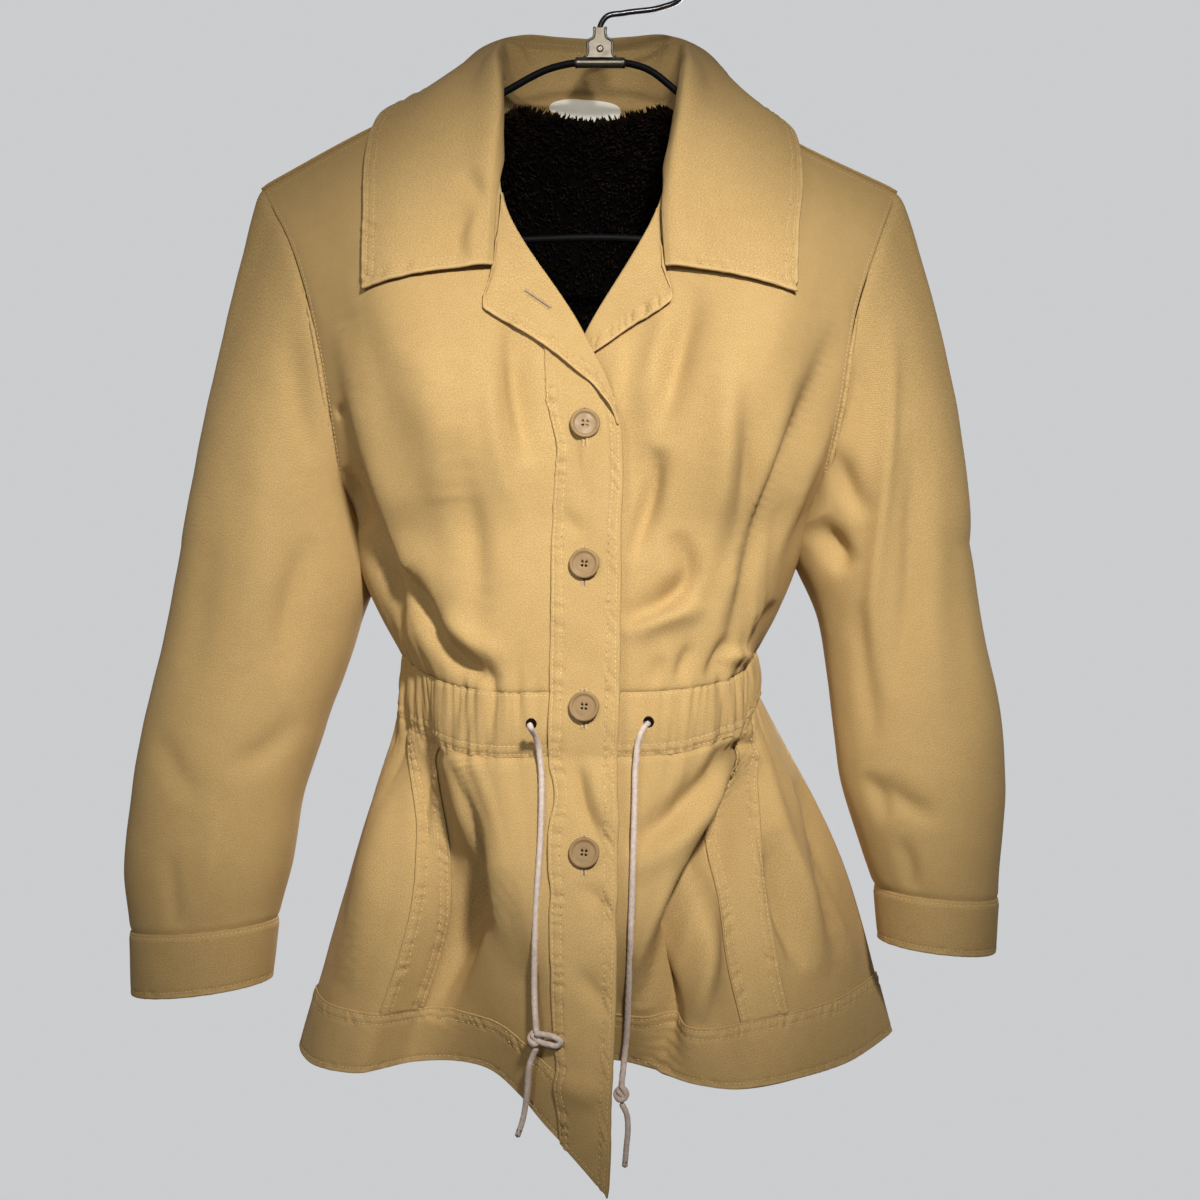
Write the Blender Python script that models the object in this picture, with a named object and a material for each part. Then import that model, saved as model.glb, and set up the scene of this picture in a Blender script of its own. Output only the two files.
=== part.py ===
"""A pile-lined tan coat with a drawstring waist, hanging open at the neck on a wire hanger.

Sizes are millimetres in tables whose columns are named above them, and metres in the finished meshes.
A place is written (x, y, drop): x to the viewer's right, y away from the viewer, drop below the hook's crown.
Left and right in names are the wearer's, so the right front lies on the viewer's left, on top.
"""

import math

import bmesh
import bpy
import numpy as np
from mathutils import Matrix, Vector
from mathutils.bvhtree import BVHTree

MM = 0.001

# Driving sizes.
CLOTH = 2.0
SEAM_GAP = 0.3
LAY_GAP = 0.5
STRIP = 1.2
COLLAR_CLOTH = 2.4
PILE = 6.0
OVERLAP_GAP = 4.0
TUCK_REACH = 10.0
BUTTON_DIAMETER = 19.5
BUTTON_THICKNESS = 3.4
BUTTON_PITCH = 91.0
BUTTON_TOP_DROP = 356.0
BUTTON_X = -10.0
BUTTON_COUNT = 4
PLACKET_LAY = 1.0
PLACKET_RISE = 0.9
CORD_DIAMETER = 4.0
CORD_GAP = 0.8
EYELET_RADIUS = 3.2
HANGER_WIRE = 5.0
HOOK_WIRE = 4.0

# Half-sections of the core that every body wall thickens towards: drop, left x, right x.
CORE_ROWS = ((120, -150, 130), (250, -150, 130), (400, -120, 95), (520, -85, 60), (790, -140, 135))
CORE_Y = -8.0
CORE_BELOW_SHOULDER = 45.0

# Shoulder seams from the neck to the sleeve head: x, y, drop.
SHOULDER_RIGHT = ((-71, -2, 106), (-116, -2, 120), (-161, -1, 140), (-237, 0, 181))
SHOULDER_LEFT = ((59, -2, 106), (98, -2, 128), (138, -1, 150), (208, 0, 183))
NECK_BACK = ((-71, -2, 106), (-58, 33, 113), (-6, 52, 121), (46, 33, 113), (59, -2, 106))

# Armholes from the shoulder down to the underarm: x, y, drop.
ARMHOLE_FRONT_RIGHT = (
    (-237, 0, 181), (-213, -27, 224), (-196, -44, 275), (-184, -49, 335), (-177, -36, 388), (-175, 0, 418),
)
ARMHOLE_FRONT_LEFT = (
    (208, 0, 183), (190, -29, 226), (173, -47, 276), (163, -52, 335), (153, -38, 388), (149, 0, 416),
)
ARMHOLE_BACK_RIGHT = (
    (-237, 0, 181), (-218, 28, 226), (-205, 46, 280), (-195, 52, 340), (-184, 36, 394), (-175, 0, 418),
)
ARMHOLE_BACK_LEFT = (
    (208, 0, 183), (193, 30, 228), (180, 48, 280), (171, 53, 340), (159, 36, 392), (149, 0, 416),
)

# Side seams from the underarm to the waist casing: x, y, drop.
SIDE_RIGHT = ((-175, 0, 418), (-163, 4, 462), (-134, 8, 505))
SIDE_LEFT = ((149, 0, 416), (133, 4, 460), (109, 8, 505))

# Front edges: the turned-back neck down to the first button, then the straight edge: x, y, drop.
EDGE_RIGHT = (
    (-71, -2, 106), (-69, -40, 162), (-66, -58, 199), (-11, -83, 297), (9, -90, 340), (12, -104, 430),
    (11, -117, 529),
)
EDGE_LEFT = (
    (59, -2, 106), (48, -38, 171), (39, -55, 207), (-12, -70, 299), (-33, -80, 345), (-33, -98, 430),
    (-32, -109, 529),
)
BREAK_RIGHT = (9, -90, 340)
CENTRE_BACK = ((-6, 52, 121), (-8, 76, 200), (-9, 86, 330), (-11, 86, 430), (-12, 82, 497))

# Lines that run down the waist and skirt, one row for each edge, ridge, valley or seam.
# Columns: name, casing top (x, y, drop), skirt top (x, y, drop), half way down (x, y), hem (x, y, drop).
RIGHT_LINES = (
    ("front_edge", (11, -117, 529), (10, -120, 570), (9, -142), (4, -165, 834)),
    ("placket_edge", (-31, -114, 529), (-31, -117, 570), (-33, -138), (-31, -138, 801)),
    ("front_face", (-72, -104, 529), (-71, -107, 571), (-60, -122), (-72, -86, 776)),
    ("front_ridge", (-103, -80, 524), (-102, -87, 566), (-81, -100), (-98, -63, 776)),
    ("welt_front", (-118, -55, 519), (-113, -62, 559), (-99, -64), (-129, -57, 779)),
    ("welt_back", (-129, -28, 513), (-131, -34, 553), (-122, -72), (-158, -73, 782)),
    ("side_lobe", (-134, -8, 508), (-138, -10, 546), (-156, -48), (-191, -50, 783)),
    ("side_seam", (-134, 8, 505), (-138, 12, 541), (-173, 8), (-212, 12, 783)),
)
LEFT_LINES = (
    ("front_edge", (-32, -109, 529), (-33, -112, 570), (-33, -126), (-30, -82, 769)),
    ("under_edge", (12, -111, 529), (13, -114, 570), (14, -129), (19, -93, 770)),
    ("front_face", (58, -102, 527), (52, -108, 568), (45, -128), (58, -118, 777)),
    ("front_ridge", (88, -76, 521), (88, -80, 558), (65, -110), (86, -122, 780)),
    ("welt_front", (97, -54, 515), (97, -58, 554), (76, -86), (98, -118, 780)),
    ("welt_back", (103, -30, 510), (104, -34, 547), (108, -75), (129, -94, 780)),
    ("side_lobe", (108, -10, 507), (110, -10, 541), (142, -42), (169, -48, 780)),
    ("side_seam", (109, 8, 505), (112, 12, 537), (168, 8), (206, 10, 774)),
)
BACK_LINES = (
    ("side_seam_right", (-134, 8, 505), (-138, 12, 541), (-173, 8), (-212, 12, 783)),
    ("flute_right", (-104, 58, 500), (-108, 62, 537), (-137, 84), (-166, 106, 785)),
    ("valley_right", (-66, 75, 497), (-68, 78, 535), (-82, 82), (-102, 94, 783)),
    ("ridge_right", (-37, 81, 497), (-38, 85, 535), (-43, 107), (-50, 132, 786)),
    ("centre_back", (-12, 82, 497), (-12, 86, 535), (-12, 99), (-8, 118, 784)),
    ("ridge_left", (14, 81, 497), (15, 85, 535), (27, 106), (43, 129, 785)),
    ("valley_left", (46, 74, 497), (48, 77, 535), (68, 83), (93, 95, 782)),
    ("flute_left", (83, 56, 500), (86, 60, 535), (124, 82), (160, 100, 779)),
    ("side_seam_left", (109, 8, 505), (112, 12, 537), (168, 8), (206, 10, 774)),
)
HALF_WAY_SHARE = 0.45
HEM_DEPTH_SHARE = 0.17
WAIST_PUFF = 2.0

# Sleeve sections below the armhole. Columns: centre (x, y), half width, half depth, outer drop, inner drop.
SLEEVE_RIGHT = (
    ((-231, 2), 61, 54, 432, 446),
    ((-236, 0), 66, 52, 484, 488),
    ((-254, -8), 63, 50, 558, 558),
    ((-265, -16), 59, 48, 612, 610),
    ((-269, -22), 57, 46, 656, 652),
    ((-271, -26), 50, 42, 696, 688),
)
SLEEVE_LEFT = (
    ((203, 2), 55, 54, 428, 444),
    ((210, 0), 56, 53, 482, 486),
    ((220, -8), 58, 51, 551, 551),
    ((223, -14), 57, 50, 594, 592),
    ((228, -20), 47, 46, 646, 642),
    ((231, -22), 42, 43, 674, 667),
)
HEAD_PUFF_RIGHT = 4.0
HEAD_PUFF_LEFT = 10.0
CUFF_END_RIGHT = ((-272, -28), 47, 40, 738, 728)
CUFF_END_LEFT = ((231, -24), 39, 41, 710, 702)

# Lapels: the outer edge from the gorge to the break: x, drop. The inner edge is the front's own turned edge.
LAPEL_EDGE_RIGHT = ((-69, 250), (-76, 278), (-46, 296), (-16, 321), (2, 336))
LAPEL_EDGE_LEFT = ((41, 249), (47, 272), (20, 289), (-4, 306), (-10, 309))
# The stretch of each front edge that is turned back: first drop, last drop.
TURNED_RIGHT = (199, 334)
TURNED_LEFT = (207, 299)
LAPEL_LIFT = 1.7

# Collar sections from the right front end round the back to the left front end.
# Columns: neck seam, roll line, free edge, each (x, y, drop). At the back the collar stands up unfolded.
COLLAR_SECTIONS = (
    ((-71, -81, 250), (-74, -82, 250), (-155, -79, 266)),
    ((-70, -64, 203), (-72, -66, 202), (-158, -52, 206)),
    ((-67, -51, 172), (-69, -55, 167), (-160, -30, 181)),
    ((-68, -29, 142), (-67, -36, 134), (-160, -19, 159)),
    ((-70, -3, 104), (-71, -5, 92), (-153, 1, 131)),
    ((-66, 17, 108), (-73, 24, 77), (-112, 27, 104)),
    ((-56, 32, 112), (-73, 44, 66), (-84, 46, 71)),
    ((-40, 43, 115), (-54, 53, 64), (-55, 55, 62)),
    ((-6, 52, 120), (-6, 60, 65), (-6, 62, 62)),
    ((29, 43, 115), (46, 53, 64), (47, 55, 62)),
    ((45, 32, 112), (63, 44, 67), (74, 46, 73)),
    ((54, 17, 108), (62, 24, 79), (100, 27, 110)),
    ((58, -3, 104), (59, -5, 94), (135, 1, 143)),
    ((56, -27, 146), (54, -36, 138), (138, -19, 171)),
    ((47, -46, 176), (48, -51, 171), (137, -33, 191)),
    ((43, -60, 208), (45, -62, 206), (133, -53, 215)),
    ((44, -73, 249), (47, -74, 249), (128, -80, 268)),
)
# Collar sections between these two are sewn to the fronts' edges and the back neck.
SEWN_SECTIONS = (2, 14)
COLLAR_LIFT = 3.0
COLLAR_CROWN = (0, -1.5, 1.5)
COLLAR_OFF_EDGE = 1.6
COLLAR_OFF_NECK = 0.9

# Free drawstring ends: x and drop of each point of the route, chosen to hang as the cord does.
CORD_RIGHT = (
    (-44, 549), (-41, 556), (-38, 572), (-37, 597), (-38, 628), (-40, 660), (-41, 692), (-41, 722),
    (-40, 737),
)
TAIL_RIGHT = ((-44, 741), (-48, 752), (-50, 772), (-53, 790), (-56, 799))
CORD_LEFT = (
    (31, 548), (26, 555), (23, 571), (22, 597), (21, 628), (20, 660), (19, 692), (18, 722), (17, 752),
    (14, 782),
)
TAIL_LEFT = ((18, 785), (21, 791), (22, 801), (21, 813), (20, 825))
KNOT_HALF = (7.0, 5.0, 6.0)
KNOT_PROUD = 2.7

# Hanger: the frame's line (x, drop) round from the middle of the clip, and the hook's up from the clip.
HANGER_LINE = (
    (0, 95), (-18, 95), (-32, 98), (-72, 118), (-161, 156), (-200, 176), (-210, 187), (-206, 199),
    (-186, 207), (0, 217), (158, 211), (177, 203), (183, 193), (176, 182), (138, 163), (58, 118),
    (30, 98), (18, 95),
)
HOOK_LINE = (
    (0, 80), (0, 75), (0, 70), (4, 63), (17, 60), (43, 56), (55, 51), (60, 40), (54, 20), (40, 7), (20, 0),
    (0, -2), (-18, 2), (-30, 13), (-33, 26),
)
# Half of the clip's outline from the top of its neck to its foot: half width, drop.
CLIP_HALF = ((4, 71), (4, 77), (8.5, 80), (8.5, 90), (17, 91.5), (17, 99))
CLIP_DEPTH = 7.6
HANGER_Y = -3.0
RIVET_RADIUS = 2.2
RIVET_DROP = 86.0
# Label rows: height in collar rows above the neck seam, half width in collar columns.
LABEL_ROWS = ((0.06, 1.5), (0.36, 1.3), (0.62, 0.75))
LABEL_SHIFT = -0.3
LABEL_CLOTH = 0.8
LINING_GAP = 0.8
LINING_GAP_AT_NECK = 4.0
# The lining's top edge: share of the back's half width from the middle, rows of the back below its top.
LINING_TOP = ((0, 0.03), (0.1, 0.1), (0.3, 1), (1, 1))

TAN = (0.49, 0.33, 0.14)
PALE_CORD = (0.72, 0.62, 0.52)
DARK_PILE = (0.012, 0.009, 0.008)
BLACK_WIRE = (0.01, 0.01, 0.011)
NICKEL = (0.55, 0.52, 0.46)
LABEL_WHITE = (0.78, 0.74, 0.64)


# Curves and surfaces.

def place(rows):
    """Rows of (x, y, drop) as points with z up."""
    points = np.array(rows, float)
    points[..., 2] *= -1
    return points


def spline(points, where):
    """The smooth curve through the points, read at places counted in points from the first."""
    points = np.asarray(points, float)
    steps = np.maximum(np.linalg.norm(np.diff(points, axis=0), axis=1), 1e-6)
    slopes = np.diff(points, axis=0) / steps[:, None]
    tangents = np.empty_like(points)
    tangents[0], tangents[-1] = slopes[0], slopes[-1]
    weight = (steps[1:] / (steps[1:] + steps[:-1]))[:, None]
    tangents[1:-1] = weight * slopes[:-1] + (1 - weight) * slopes[1:]
    first = np.clip(np.floor(where).astype(int), 0, len(points) - 2)
    t = (np.asarray(where, float) - first)[:, None]
    h = steps[first][:, None]
    return (
        (2 * t**3 - 3 * t**2 + 1) * points[first]
        + (t**3 - 2 * t**2 + t) * h * tangents[first]
        + (3 * t**2 - 2 * t**3) * points[first + 1]
        + (t**3 - t**2) * h * tangents[first + 1]
    )


def along(points, shares):
    """The smooth curve through the points, read at shares of its length."""
    fine = spline(points, np.linspace(0, len(points) - 1, 40 * len(points)))
    length = np.concatenate([[0], np.cumsum(np.linalg.norm(np.diff(fine, axis=0), axis=1))])
    at = np.asarray(shares, float) * length[-1]
    return np.stack([np.interp(at, length, fine[:, k]) for k in range(3)], axis=1)


def share_at(points, spot):
    """The share of the curve's length that lies before the point nearest to spot."""
    shares = np.linspace(0, 1, 801)
    return shares[np.linalg.norm(along(points, shares) - np.asarray(spot), axis=1).argmin()]


def across(points, per_gap):
    """The smooth curve through the points, with per_gap even steps between neighbours."""
    return spline(points, np.linspace(0, len(points) - 1, per_gap * (len(points) - 1) + 1))


def coons(top, bottom, first, last, u, v):
    """The surface spanned by four edges that meet at the corners, as a grid of rows v and columns u."""
    u, v = np.asarray(u)[None, :, None], np.asarray(v)[:, None, None]
    ruled = (1 - v) * top[None] + v * bottom[None] + (1 - u) * first[:, None] + u * last[:, None]
    corners = (1 - v) * ((1 - u) * top[0] + u * top[-1]) + v * ((1 - u) * bottom[0] + u * bottom[-1])
    return ruled - corners


def bulge(grid, u, v, centre, spread, push):
    """Pushes the grid by the vector push around a place of the panel, fading out over spread."""
    du = (np.asarray(u)[None, :] - centre[0]) / spread[0]
    dv = (np.asarray(v)[:, None] - centre[1]) / spread[1]
    near = np.exp(-(du**2 + dv**2))
    edge = np.sin(np.pi * np.asarray(u))[None, :] ** 0.5 * np.sin(np.pi * np.asarray(v))[:, None] ** 0.5
    return grid + (near * edge)[..., None] * np.asarray(push, float)


def eased(grid, rounds=12):
    """The grid with its inside relaxed between its edges, which stay."""
    grid = grid.copy()
    for _ in range(rounds):
        around = (grid[:-2, 1:-1] + grid[2:, 1:-1] + grid[1:-1, :-2] + grid[1:-1, 2:]) / 4
        grid[1:-1, 1:-1] += 0.5 * (around - grid[1:-1, 1:-1])
    return grid


def normals(grid, closed=False):
    """Unit normals of a grid, on the side of columns crossed with rows."""
    if closed:
        du = np.roll(grid, -1, axis=1) - np.roll(grid, 1, axis=1)
    else:
        du = np.gradient(grid, axis=1)
    n = np.cross(du, np.gradient(grid, axis=0))
    return n / np.maximum(np.linalg.norm(n, axis=-1, keepdims=True), 1e-9)


def to_core(points):
    """Unit directions from points on the body's outside towards the core sheet inside it."""
    rows = np.array(CORE_ROWS, float)
    drop = -points[..., 2]
    shoulder = place(SHOULDER_RIGHT[::-1] + SHOULDER_LEFT)
    lowest = np.interp(points[..., 0], shoulder[:, 0], -shoulder[:, 2]) + CORE_BELOW_SHOULDER
    left_end, right_end = np.interp(drop, rows[:, 0], rows[:, 1]), np.interp(drop, rows[:, 0], rows[:, 2])
    x = np.clip(points[..., 0], left_end, right_end)
    core = np.stack([x, np.full_like(x, CORE_Y), -np.maximum(drop, lowest)], axis=-1)
    way = core - points
    return way / np.linalg.norm(way, axis=-1, keepdims=True)


def shift(grid, way, distance, closed=False):
    """The grid moved along way until it lies distance off its own surface."""
    lean = np.abs((normals(grid, closed) * way).sum(-1, keepdims=True))
    return grid + way * distance / np.maximum(lean, 0.55)


def trimmed(grid, sides, gap=SEAM_GAP / 2):
    """The grid drawn back from its seams. Sides are top, bottom, first and last."""
    grid = grid.copy()
    for side in sides:
        rows = grid if side in ("top", "bottom") else grid.swapaxes(0, 1)
        edge, inner = (0, 1) if side in ("top", "first") else (-1, -2)
        way = rows[inner] - rows[edge]
        rows[edge] += way * gap / np.maximum(np.linalg.norm(way, axis=-1, keepdims=True), 1e-9)
    return grid


# Making solids.

def finish(name, mesh_maker, material):
    """An object of the mesh that was made, smooth except at its sharp edges."""
    mesh = bpy.data.meshes.new(name)
    bmesh.ops.recalc_face_normals(mesh_maker, faces=mesh_maker.faces)
    mesh_maker.to_mesh(mesh)
    mesh_maker.free()
    mesh.shade_smooth()
    mesh.set_sharp_from_angle(angle=math.radians(40))
    mesh.materials.append(material)
    made = bpy.data.objects.new(name, mesh)
    bpy.context.scene.collection.objects.link(made)
    return made


def wall(name, outer, inner, material, closed=False):
    """A closed wall between two grids of the same shape. A closed grid joins its last column to its first."""
    rows, columns = outer.shape[:2]
    maker = bmesh.new()
    outside = [[maker.verts.new(p * MM) for p in row] for row in outer]
    inside = [[maker.verts.new(p * MM) for p in row] for row in inner]
    last = columns if closed else columns - 1
    for r in range(rows - 1):
        for c in range(last):
            d = (c + 1) % columns
            maker.faces.new((outside[r][c], outside[r][d], outside[r + 1][d]))
            maker.faces.new((outside[r][c], outside[r + 1][d], outside[r + 1][c]))
            maker.faces.new((inside[r + 1][d], inside[r][d], inside[r][c]))
            maker.faces.new((inside[r + 1][c], inside[r + 1][d], inside[r][c]))
    for c in range(last):
        d = (c + 1) % columns
        maker.faces.new((inside[0][c], inside[0][d], outside[0][d], outside[0][c]))
        maker.faces.new((outside[-1][c], outside[-1][d], inside[-1][d], inside[-1][c]))
    if not closed:
        for r in range(rows - 1):
            maker.faces.new((outside[r][0], outside[r + 1][0], inside[r + 1][0], inside[r][0]))
            maker.faces.new((inside[r][-1], inside[r + 1][-1], outside[r + 1][-1], outside[r][-1]))
    return finish(name, maker, material)


def cloth(name, grid, sides, material, thickness=CLOTH):
    """A body panel: its outside is the grid drawn back from its seams, thickened towards the core."""
    grid = trimmed(grid, sides)
    return wall(name, grid, shift(grid, to_core(grid), thickness), material)


def outward(grid):
    """Unit normals of a body grid on its outer side."""
    n = normals(grid)
    return n if (n * to_core(grid)).sum() < 0 else -n


def strip_on(name, panel, rows, columns, sides, material, thickness=STRIP, lay=LAY_GAP):
    """A piece sewn on a panel, made from the panel's own points moved out."""
    out = outward(panel)[rows, columns]
    low = trimmed(panel[rows, columns] + out * lay, sides, 2 * SEAM_GAP)
    high = trimmed(panel[rows, columns] + out * (lay + thickness), sides, 2 * SEAM_GAP)
    return wall(name, high, low, material)


def tree_of(*objects):
    """The faces of the objects, in millimetres, for finding the nearest one."""
    points, faces = [], []
    for made in objects:
        start = len(points)
        points += [v.co / MM for v in made.data.vertices]
        faces += [tuple(start + i for i in p.vertices) for p in made.data.polygons]
    return BVHTree.FromPolygons(points, faces)


def kept_clear(grid, tree, clearance, rounds=4):
    """The grid with each point moved out of the solids until it is clear of them."""
    flat = grid.reshape(-1, 3).copy()
    for _ in range(rounds):
        for i, p in enumerate(flat):
            spot, normal, _, _ = tree.find_nearest(Vector(p))
            off = np.array(Vector(p) - spot)
            depth = off @ np.array(normal)
            if depth < 0 or np.linalg.norm(off) < clearance:
                flat[i] = np.array(spot) + np.array(normal) * clearance
    return flat.reshape(grid.shape)


def front_of(tree, x, z):
    """The nearest surface to the viewer at x and z: its y, or None."""
    spot = tree.ray_cast(Vector((x, -1000, z)), Vector((0, 1, 0)))[0]
    return None if spot is None else spot.y


def tucked_behind(grid, tree, distance):
    """The grid with each point under the cover pushed back behind it."""
    grid = grid.copy()
    for p in grid.reshape(-1, 3):
        for reach in (0, TUCK_REACH):
            cover = front_of(tree, p[0] - reach, p[2])
            if cover is not None:
                p[1] = max(p[1], cover + distance)
    return grid


def tube(name, points, diameter, material, closed=False, sides=2):
    """A round wire or cord along the points."""
    curve = bpy.data.curves.new(name, "CURVE")
    curve.dimensions = "3D"
    curve.bevel_depth = diameter / 2 * MM
    curve.bevel_resolution = sides
    curve.use_fill_caps = not closed
    line = curve.splines.new("POLY")
    line.points.add(len(points) - 1)
    for spot, p in zip(line.points, points):
        spot.co = (*(np.asarray(p) * MM), 1)
    line.use_cyclic_u = closed
    curve.materials.append(material)
    made = bpy.data.objects.new(name, curve)
    bpy.context.scene.collection.objects.link(made)
    return made


def turned(name, profile, segments, at, facing, material):
    """A disc turned from a profile of (radius, height), set at a place and facing a direction."""
    maker = bmesh.new()
    rings = []
    for radius, height in profile:
        ring = []
        for k in range(segments):
            a = 2 * math.pi * k / segments
            ring.append(maker.verts.new((radius * MM * math.cos(a), radius * MM * math.sin(a), height * MM)))
        rings.append(ring)
    for low, high in zip(rings, rings[1:]):
        for k in range(segments):
            n = (k + 1) % segments
            maker.faces.new((low[k], low[n], high[n], high[k]))
    maker.faces.new(rings[0][::-1])
    maker.faces.new(rings[-1])
    made = finish(name, maker, material)
    turn = Vector(facing).to_track_quat("Z", "Y").to_matrix().to_4x4()
    made.matrix_world = Matrix.Translation(Vector(np.asarray(at) * MM)) @ turn
    return made


def cut(made, cutter):
    """Cuts one solid from another and hides the cutter."""
    modifier = made.modifiers.new("cut", "BOOLEAN")
    modifier.operation = "DIFFERENCE"
    modifier.object = cutter
    cutter.hide_render = True
    cutter.display_type = "WIRE"


def rod(name, radius, start, end, material, segments=12):
    """A plain round rod between two places, used as a cutter."""
    start, end = np.asarray(start, float), np.asarray(end, float)
    length = np.linalg.norm(end - start)
    return turned(name, ((radius, 0), (radius, length)), segments, start, end - start, material)


def surface(name, colour, roughness, metallic=0.0):
    made = bpy.data.materials.new(name)
    made.use_nodes = True
    shader = made.node_tree.nodes["Principled BSDF"]
    shader.inputs["Base Color"].default_value = (*colour, 1)
    shader.inputs["Roughness"].default_value = roughness
    shader.inputs["Metallic"].default_value = metallic
    return made


# The bodice.

COLUMNS = (0, 0.11, 0.22, 0.34, 0.46, 0.58, 0.70, 0.80, 0.90, 1)
ARMHOLE_STEPS = 10
SIDE_STEPS = 3
ROWS = np.linspace(0, 1, ARMHOLE_STEPS + SIDE_STEPS + 1)


def rows_through(edge, spot):
    """Even shares down an edge, with one of them moved to the spot."""
    shares = ROWS.copy()
    target = share_at(edge, spot)
    shares[np.abs(shares - target).argmin()] = target
    return shares


def outer_edge(armhole, side):
    """The armhole and then the side seam, with a row at the underarm."""
    down_arm = along(place(armhole), np.linspace(0, 1, ARMHOLE_STEPS + 1))
    return np.concatenate([down_arm, along(place(side), np.linspace(0, 1, SIDE_STEPS + 1))[1:]])


def front_grid(shoulder, edge, armhole, side, lines, v, bulges):
    """A front bodice between its shoulder seam, front edge, armhole, side seam and the casing."""
    top = along(place(shoulder), COLUMNS)
    bottom = along(place([line[1] for line in lines]), COLUMNS)
    grid = coons(top, bottom, along(place(edge), v), outer_edge(armhole, side), COLUMNS, v)
    for centre, spread, push in bulges:
        grid = bulge(grid, COLUMNS, v, centre, spread, push)
    return grid


# Soft swellings of the bodice: centre (u, v), spread (u, v), push (x, y, z).
BULGES_RIGHT = (((0.55, 0.50), (0.30, 0.30), (0, -26, 0)), ((0.85, 0.85), (0.22, 0.16), (-6, -14, 0)))
BULGES_LEFT = (((0.55, 0.50), (0.30, 0.30), (0, -24, 0)), ((0.85, 0.85), (0.22, 0.16), (6, -12, 0)))
BULGES_BACK = (((0.55, 0.45), (0.35, 0.35), (0, 16, 0)),)


def back_half(shoulder, neck, armhole, side, lines, v):
    """Half of the back bodice, from the centre line out to the armhole and side."""
    neck_share = 0.3
    u = np.linspace(0, 1, 11)
    outward = u > neck_share + 0.01
    top = np.empty((len(u), 3))
    top[~outward] = along(neck, np.minimum(u[~outward] / neck_share, 1))
    top[outward] = along(place(shoulder), (u[outward] - neck_share) / (1 - neck_share))
    bottom = along(place([line[1] for line in lines]), u)
    grid = coons(top, bottom, along(place(CENTRE_BACK), v), outer_edge(armhole, side), u, v)
    for centre, spread, push in BULGES_BACK:
        grid = bulge(grid, u, v, centre, spread, push)
    return eased(grid)


def back_grid(v):
    neck = place(NECK_BACK)
    middle = len(BACK_LINES) // 2
    right = back_half(SHOULDER_RIGHT, neck[2::-1], ARMHOLE_BACK_RIGHT, SIDE_RIGHT, BACK_LINES[middle::-1], v)
    left = back_half(SHOULDER_LEFT, neck[2:], ARMHOLE_BACK_LEFT, SIDE_LEFT, BACK_LINES[middle:], v)
    return np.concatenate([left[:, ::-1], right[:, 1:]], axis=1)


# The waist and skirt.

PER_GAP = 2
SKIRT_ROWS = (0, 0.16, 0.34, 0.52, 0.68, 1 - HEM_DEPTH_SHARE, 1)


def casing_grid(lines):
    """The gathered band that holds the drawstring, puffed a little between its seams."""
    top = across(place([line[1] for line in lines]), PER_GAP)
    bottom = across(place([line[2] for line in lines]), PER_GAP)
    middle = (top + bottom) / 2
    return np.stack([top, middle - to_core(middle) * WAIST_PUFF, bottom])


def skirt_grid(lines):
    """The skirt: each line runs from the casing through its half-way place to the hem."""
    down = []
    for _, _, top, half, hem in lines:
        half_drop = top[2] + HALF_WAY_SHARE * (hem[2] - top[2])
        down.append(along(place((top, (*half, half_drop), hem)), SKIRT_ROWS))
    return np.stack([across(row, PER_GAP) for row in np.stack(down, axis=1)])


def column_of(lines, name):
    return PER_GAP * [line[0] for line in lines].index(name)


# The sleeves.

RING = 2 * ARMHOLE_STEPS


def armhole_ring(front, back):
    """The armhole as a ring from the shoulder down the front to the underarm and up the back."""
    half = np.linspace(0, 1, RING // 2 + 1)
    return np.concatenate([along(place(front), half), along(place(back), half)[-2:0:-1]])


def section_ring(section, outward):
    """One oval section of a sleeve, starting at its outer side and turning to the front."""
    (x, y), half_width, half_depth, outer_drop, inner_drop = section
    a = 2 * math.pi * np.arange(RING) / RING
    drop = (outer_drop + inner_drop) / 2 + (outer_drop - inner_drop) / 2 * np.cos(a)
    return np.stack([x + outward * half_width * np.cos(a), y - half_depth * np.sin(a), -drop], axis=1)


def sleeve_grid(front, back, sections, outward, puff):
    """A sleeve from the armhole down, its head puffed out sideways by puff."""
    rings = [armhole_ring(front, back)] + [section_ring(s, outward) for s in sections]
    where = np.concatenate([np.linspace(0, 1, 6), np.arange(2, len(rings)) - 0.5, np.arange(2, len(rings))])
    where = np.sort(where)
    grid = spline_rows(np.stack(rings), where)
    swell = np.sin(np.pi * np.clip(where, 0, 1)) ** 0.6
    outer = np.clip(np.cos(2 * np.pi * np.arange(RING) / RING), 0, 1)
    grid[..., 0] += outward * puff * swell[:, None] * outer[None, :]
    return grid


def spline_rows(rings, where):
    """Smooth lines down through the same point of every ring."""
    return np.stack([spline(rings[:, k], where) for k in range(rings.shape[1])], axis=1)


def sleeve_inward(grid):
    """Directions into the sleeve: towards the core at the armhole seam, towards its own middle below."""
    middle = grid.mean(axis=1, keepdims=True)
    own = middle - grid
    own /= np.linalg.norm(own, axis=-1, keepdims=True)
    share = np.clip(np.arange(len(grid)) / 2, 0, 1)[:, None, None]
    way = (1 - share) * to_core(grid) + share * own
    return way / np.linalg.norm(way, axis=-1, keepdims=True)


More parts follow.
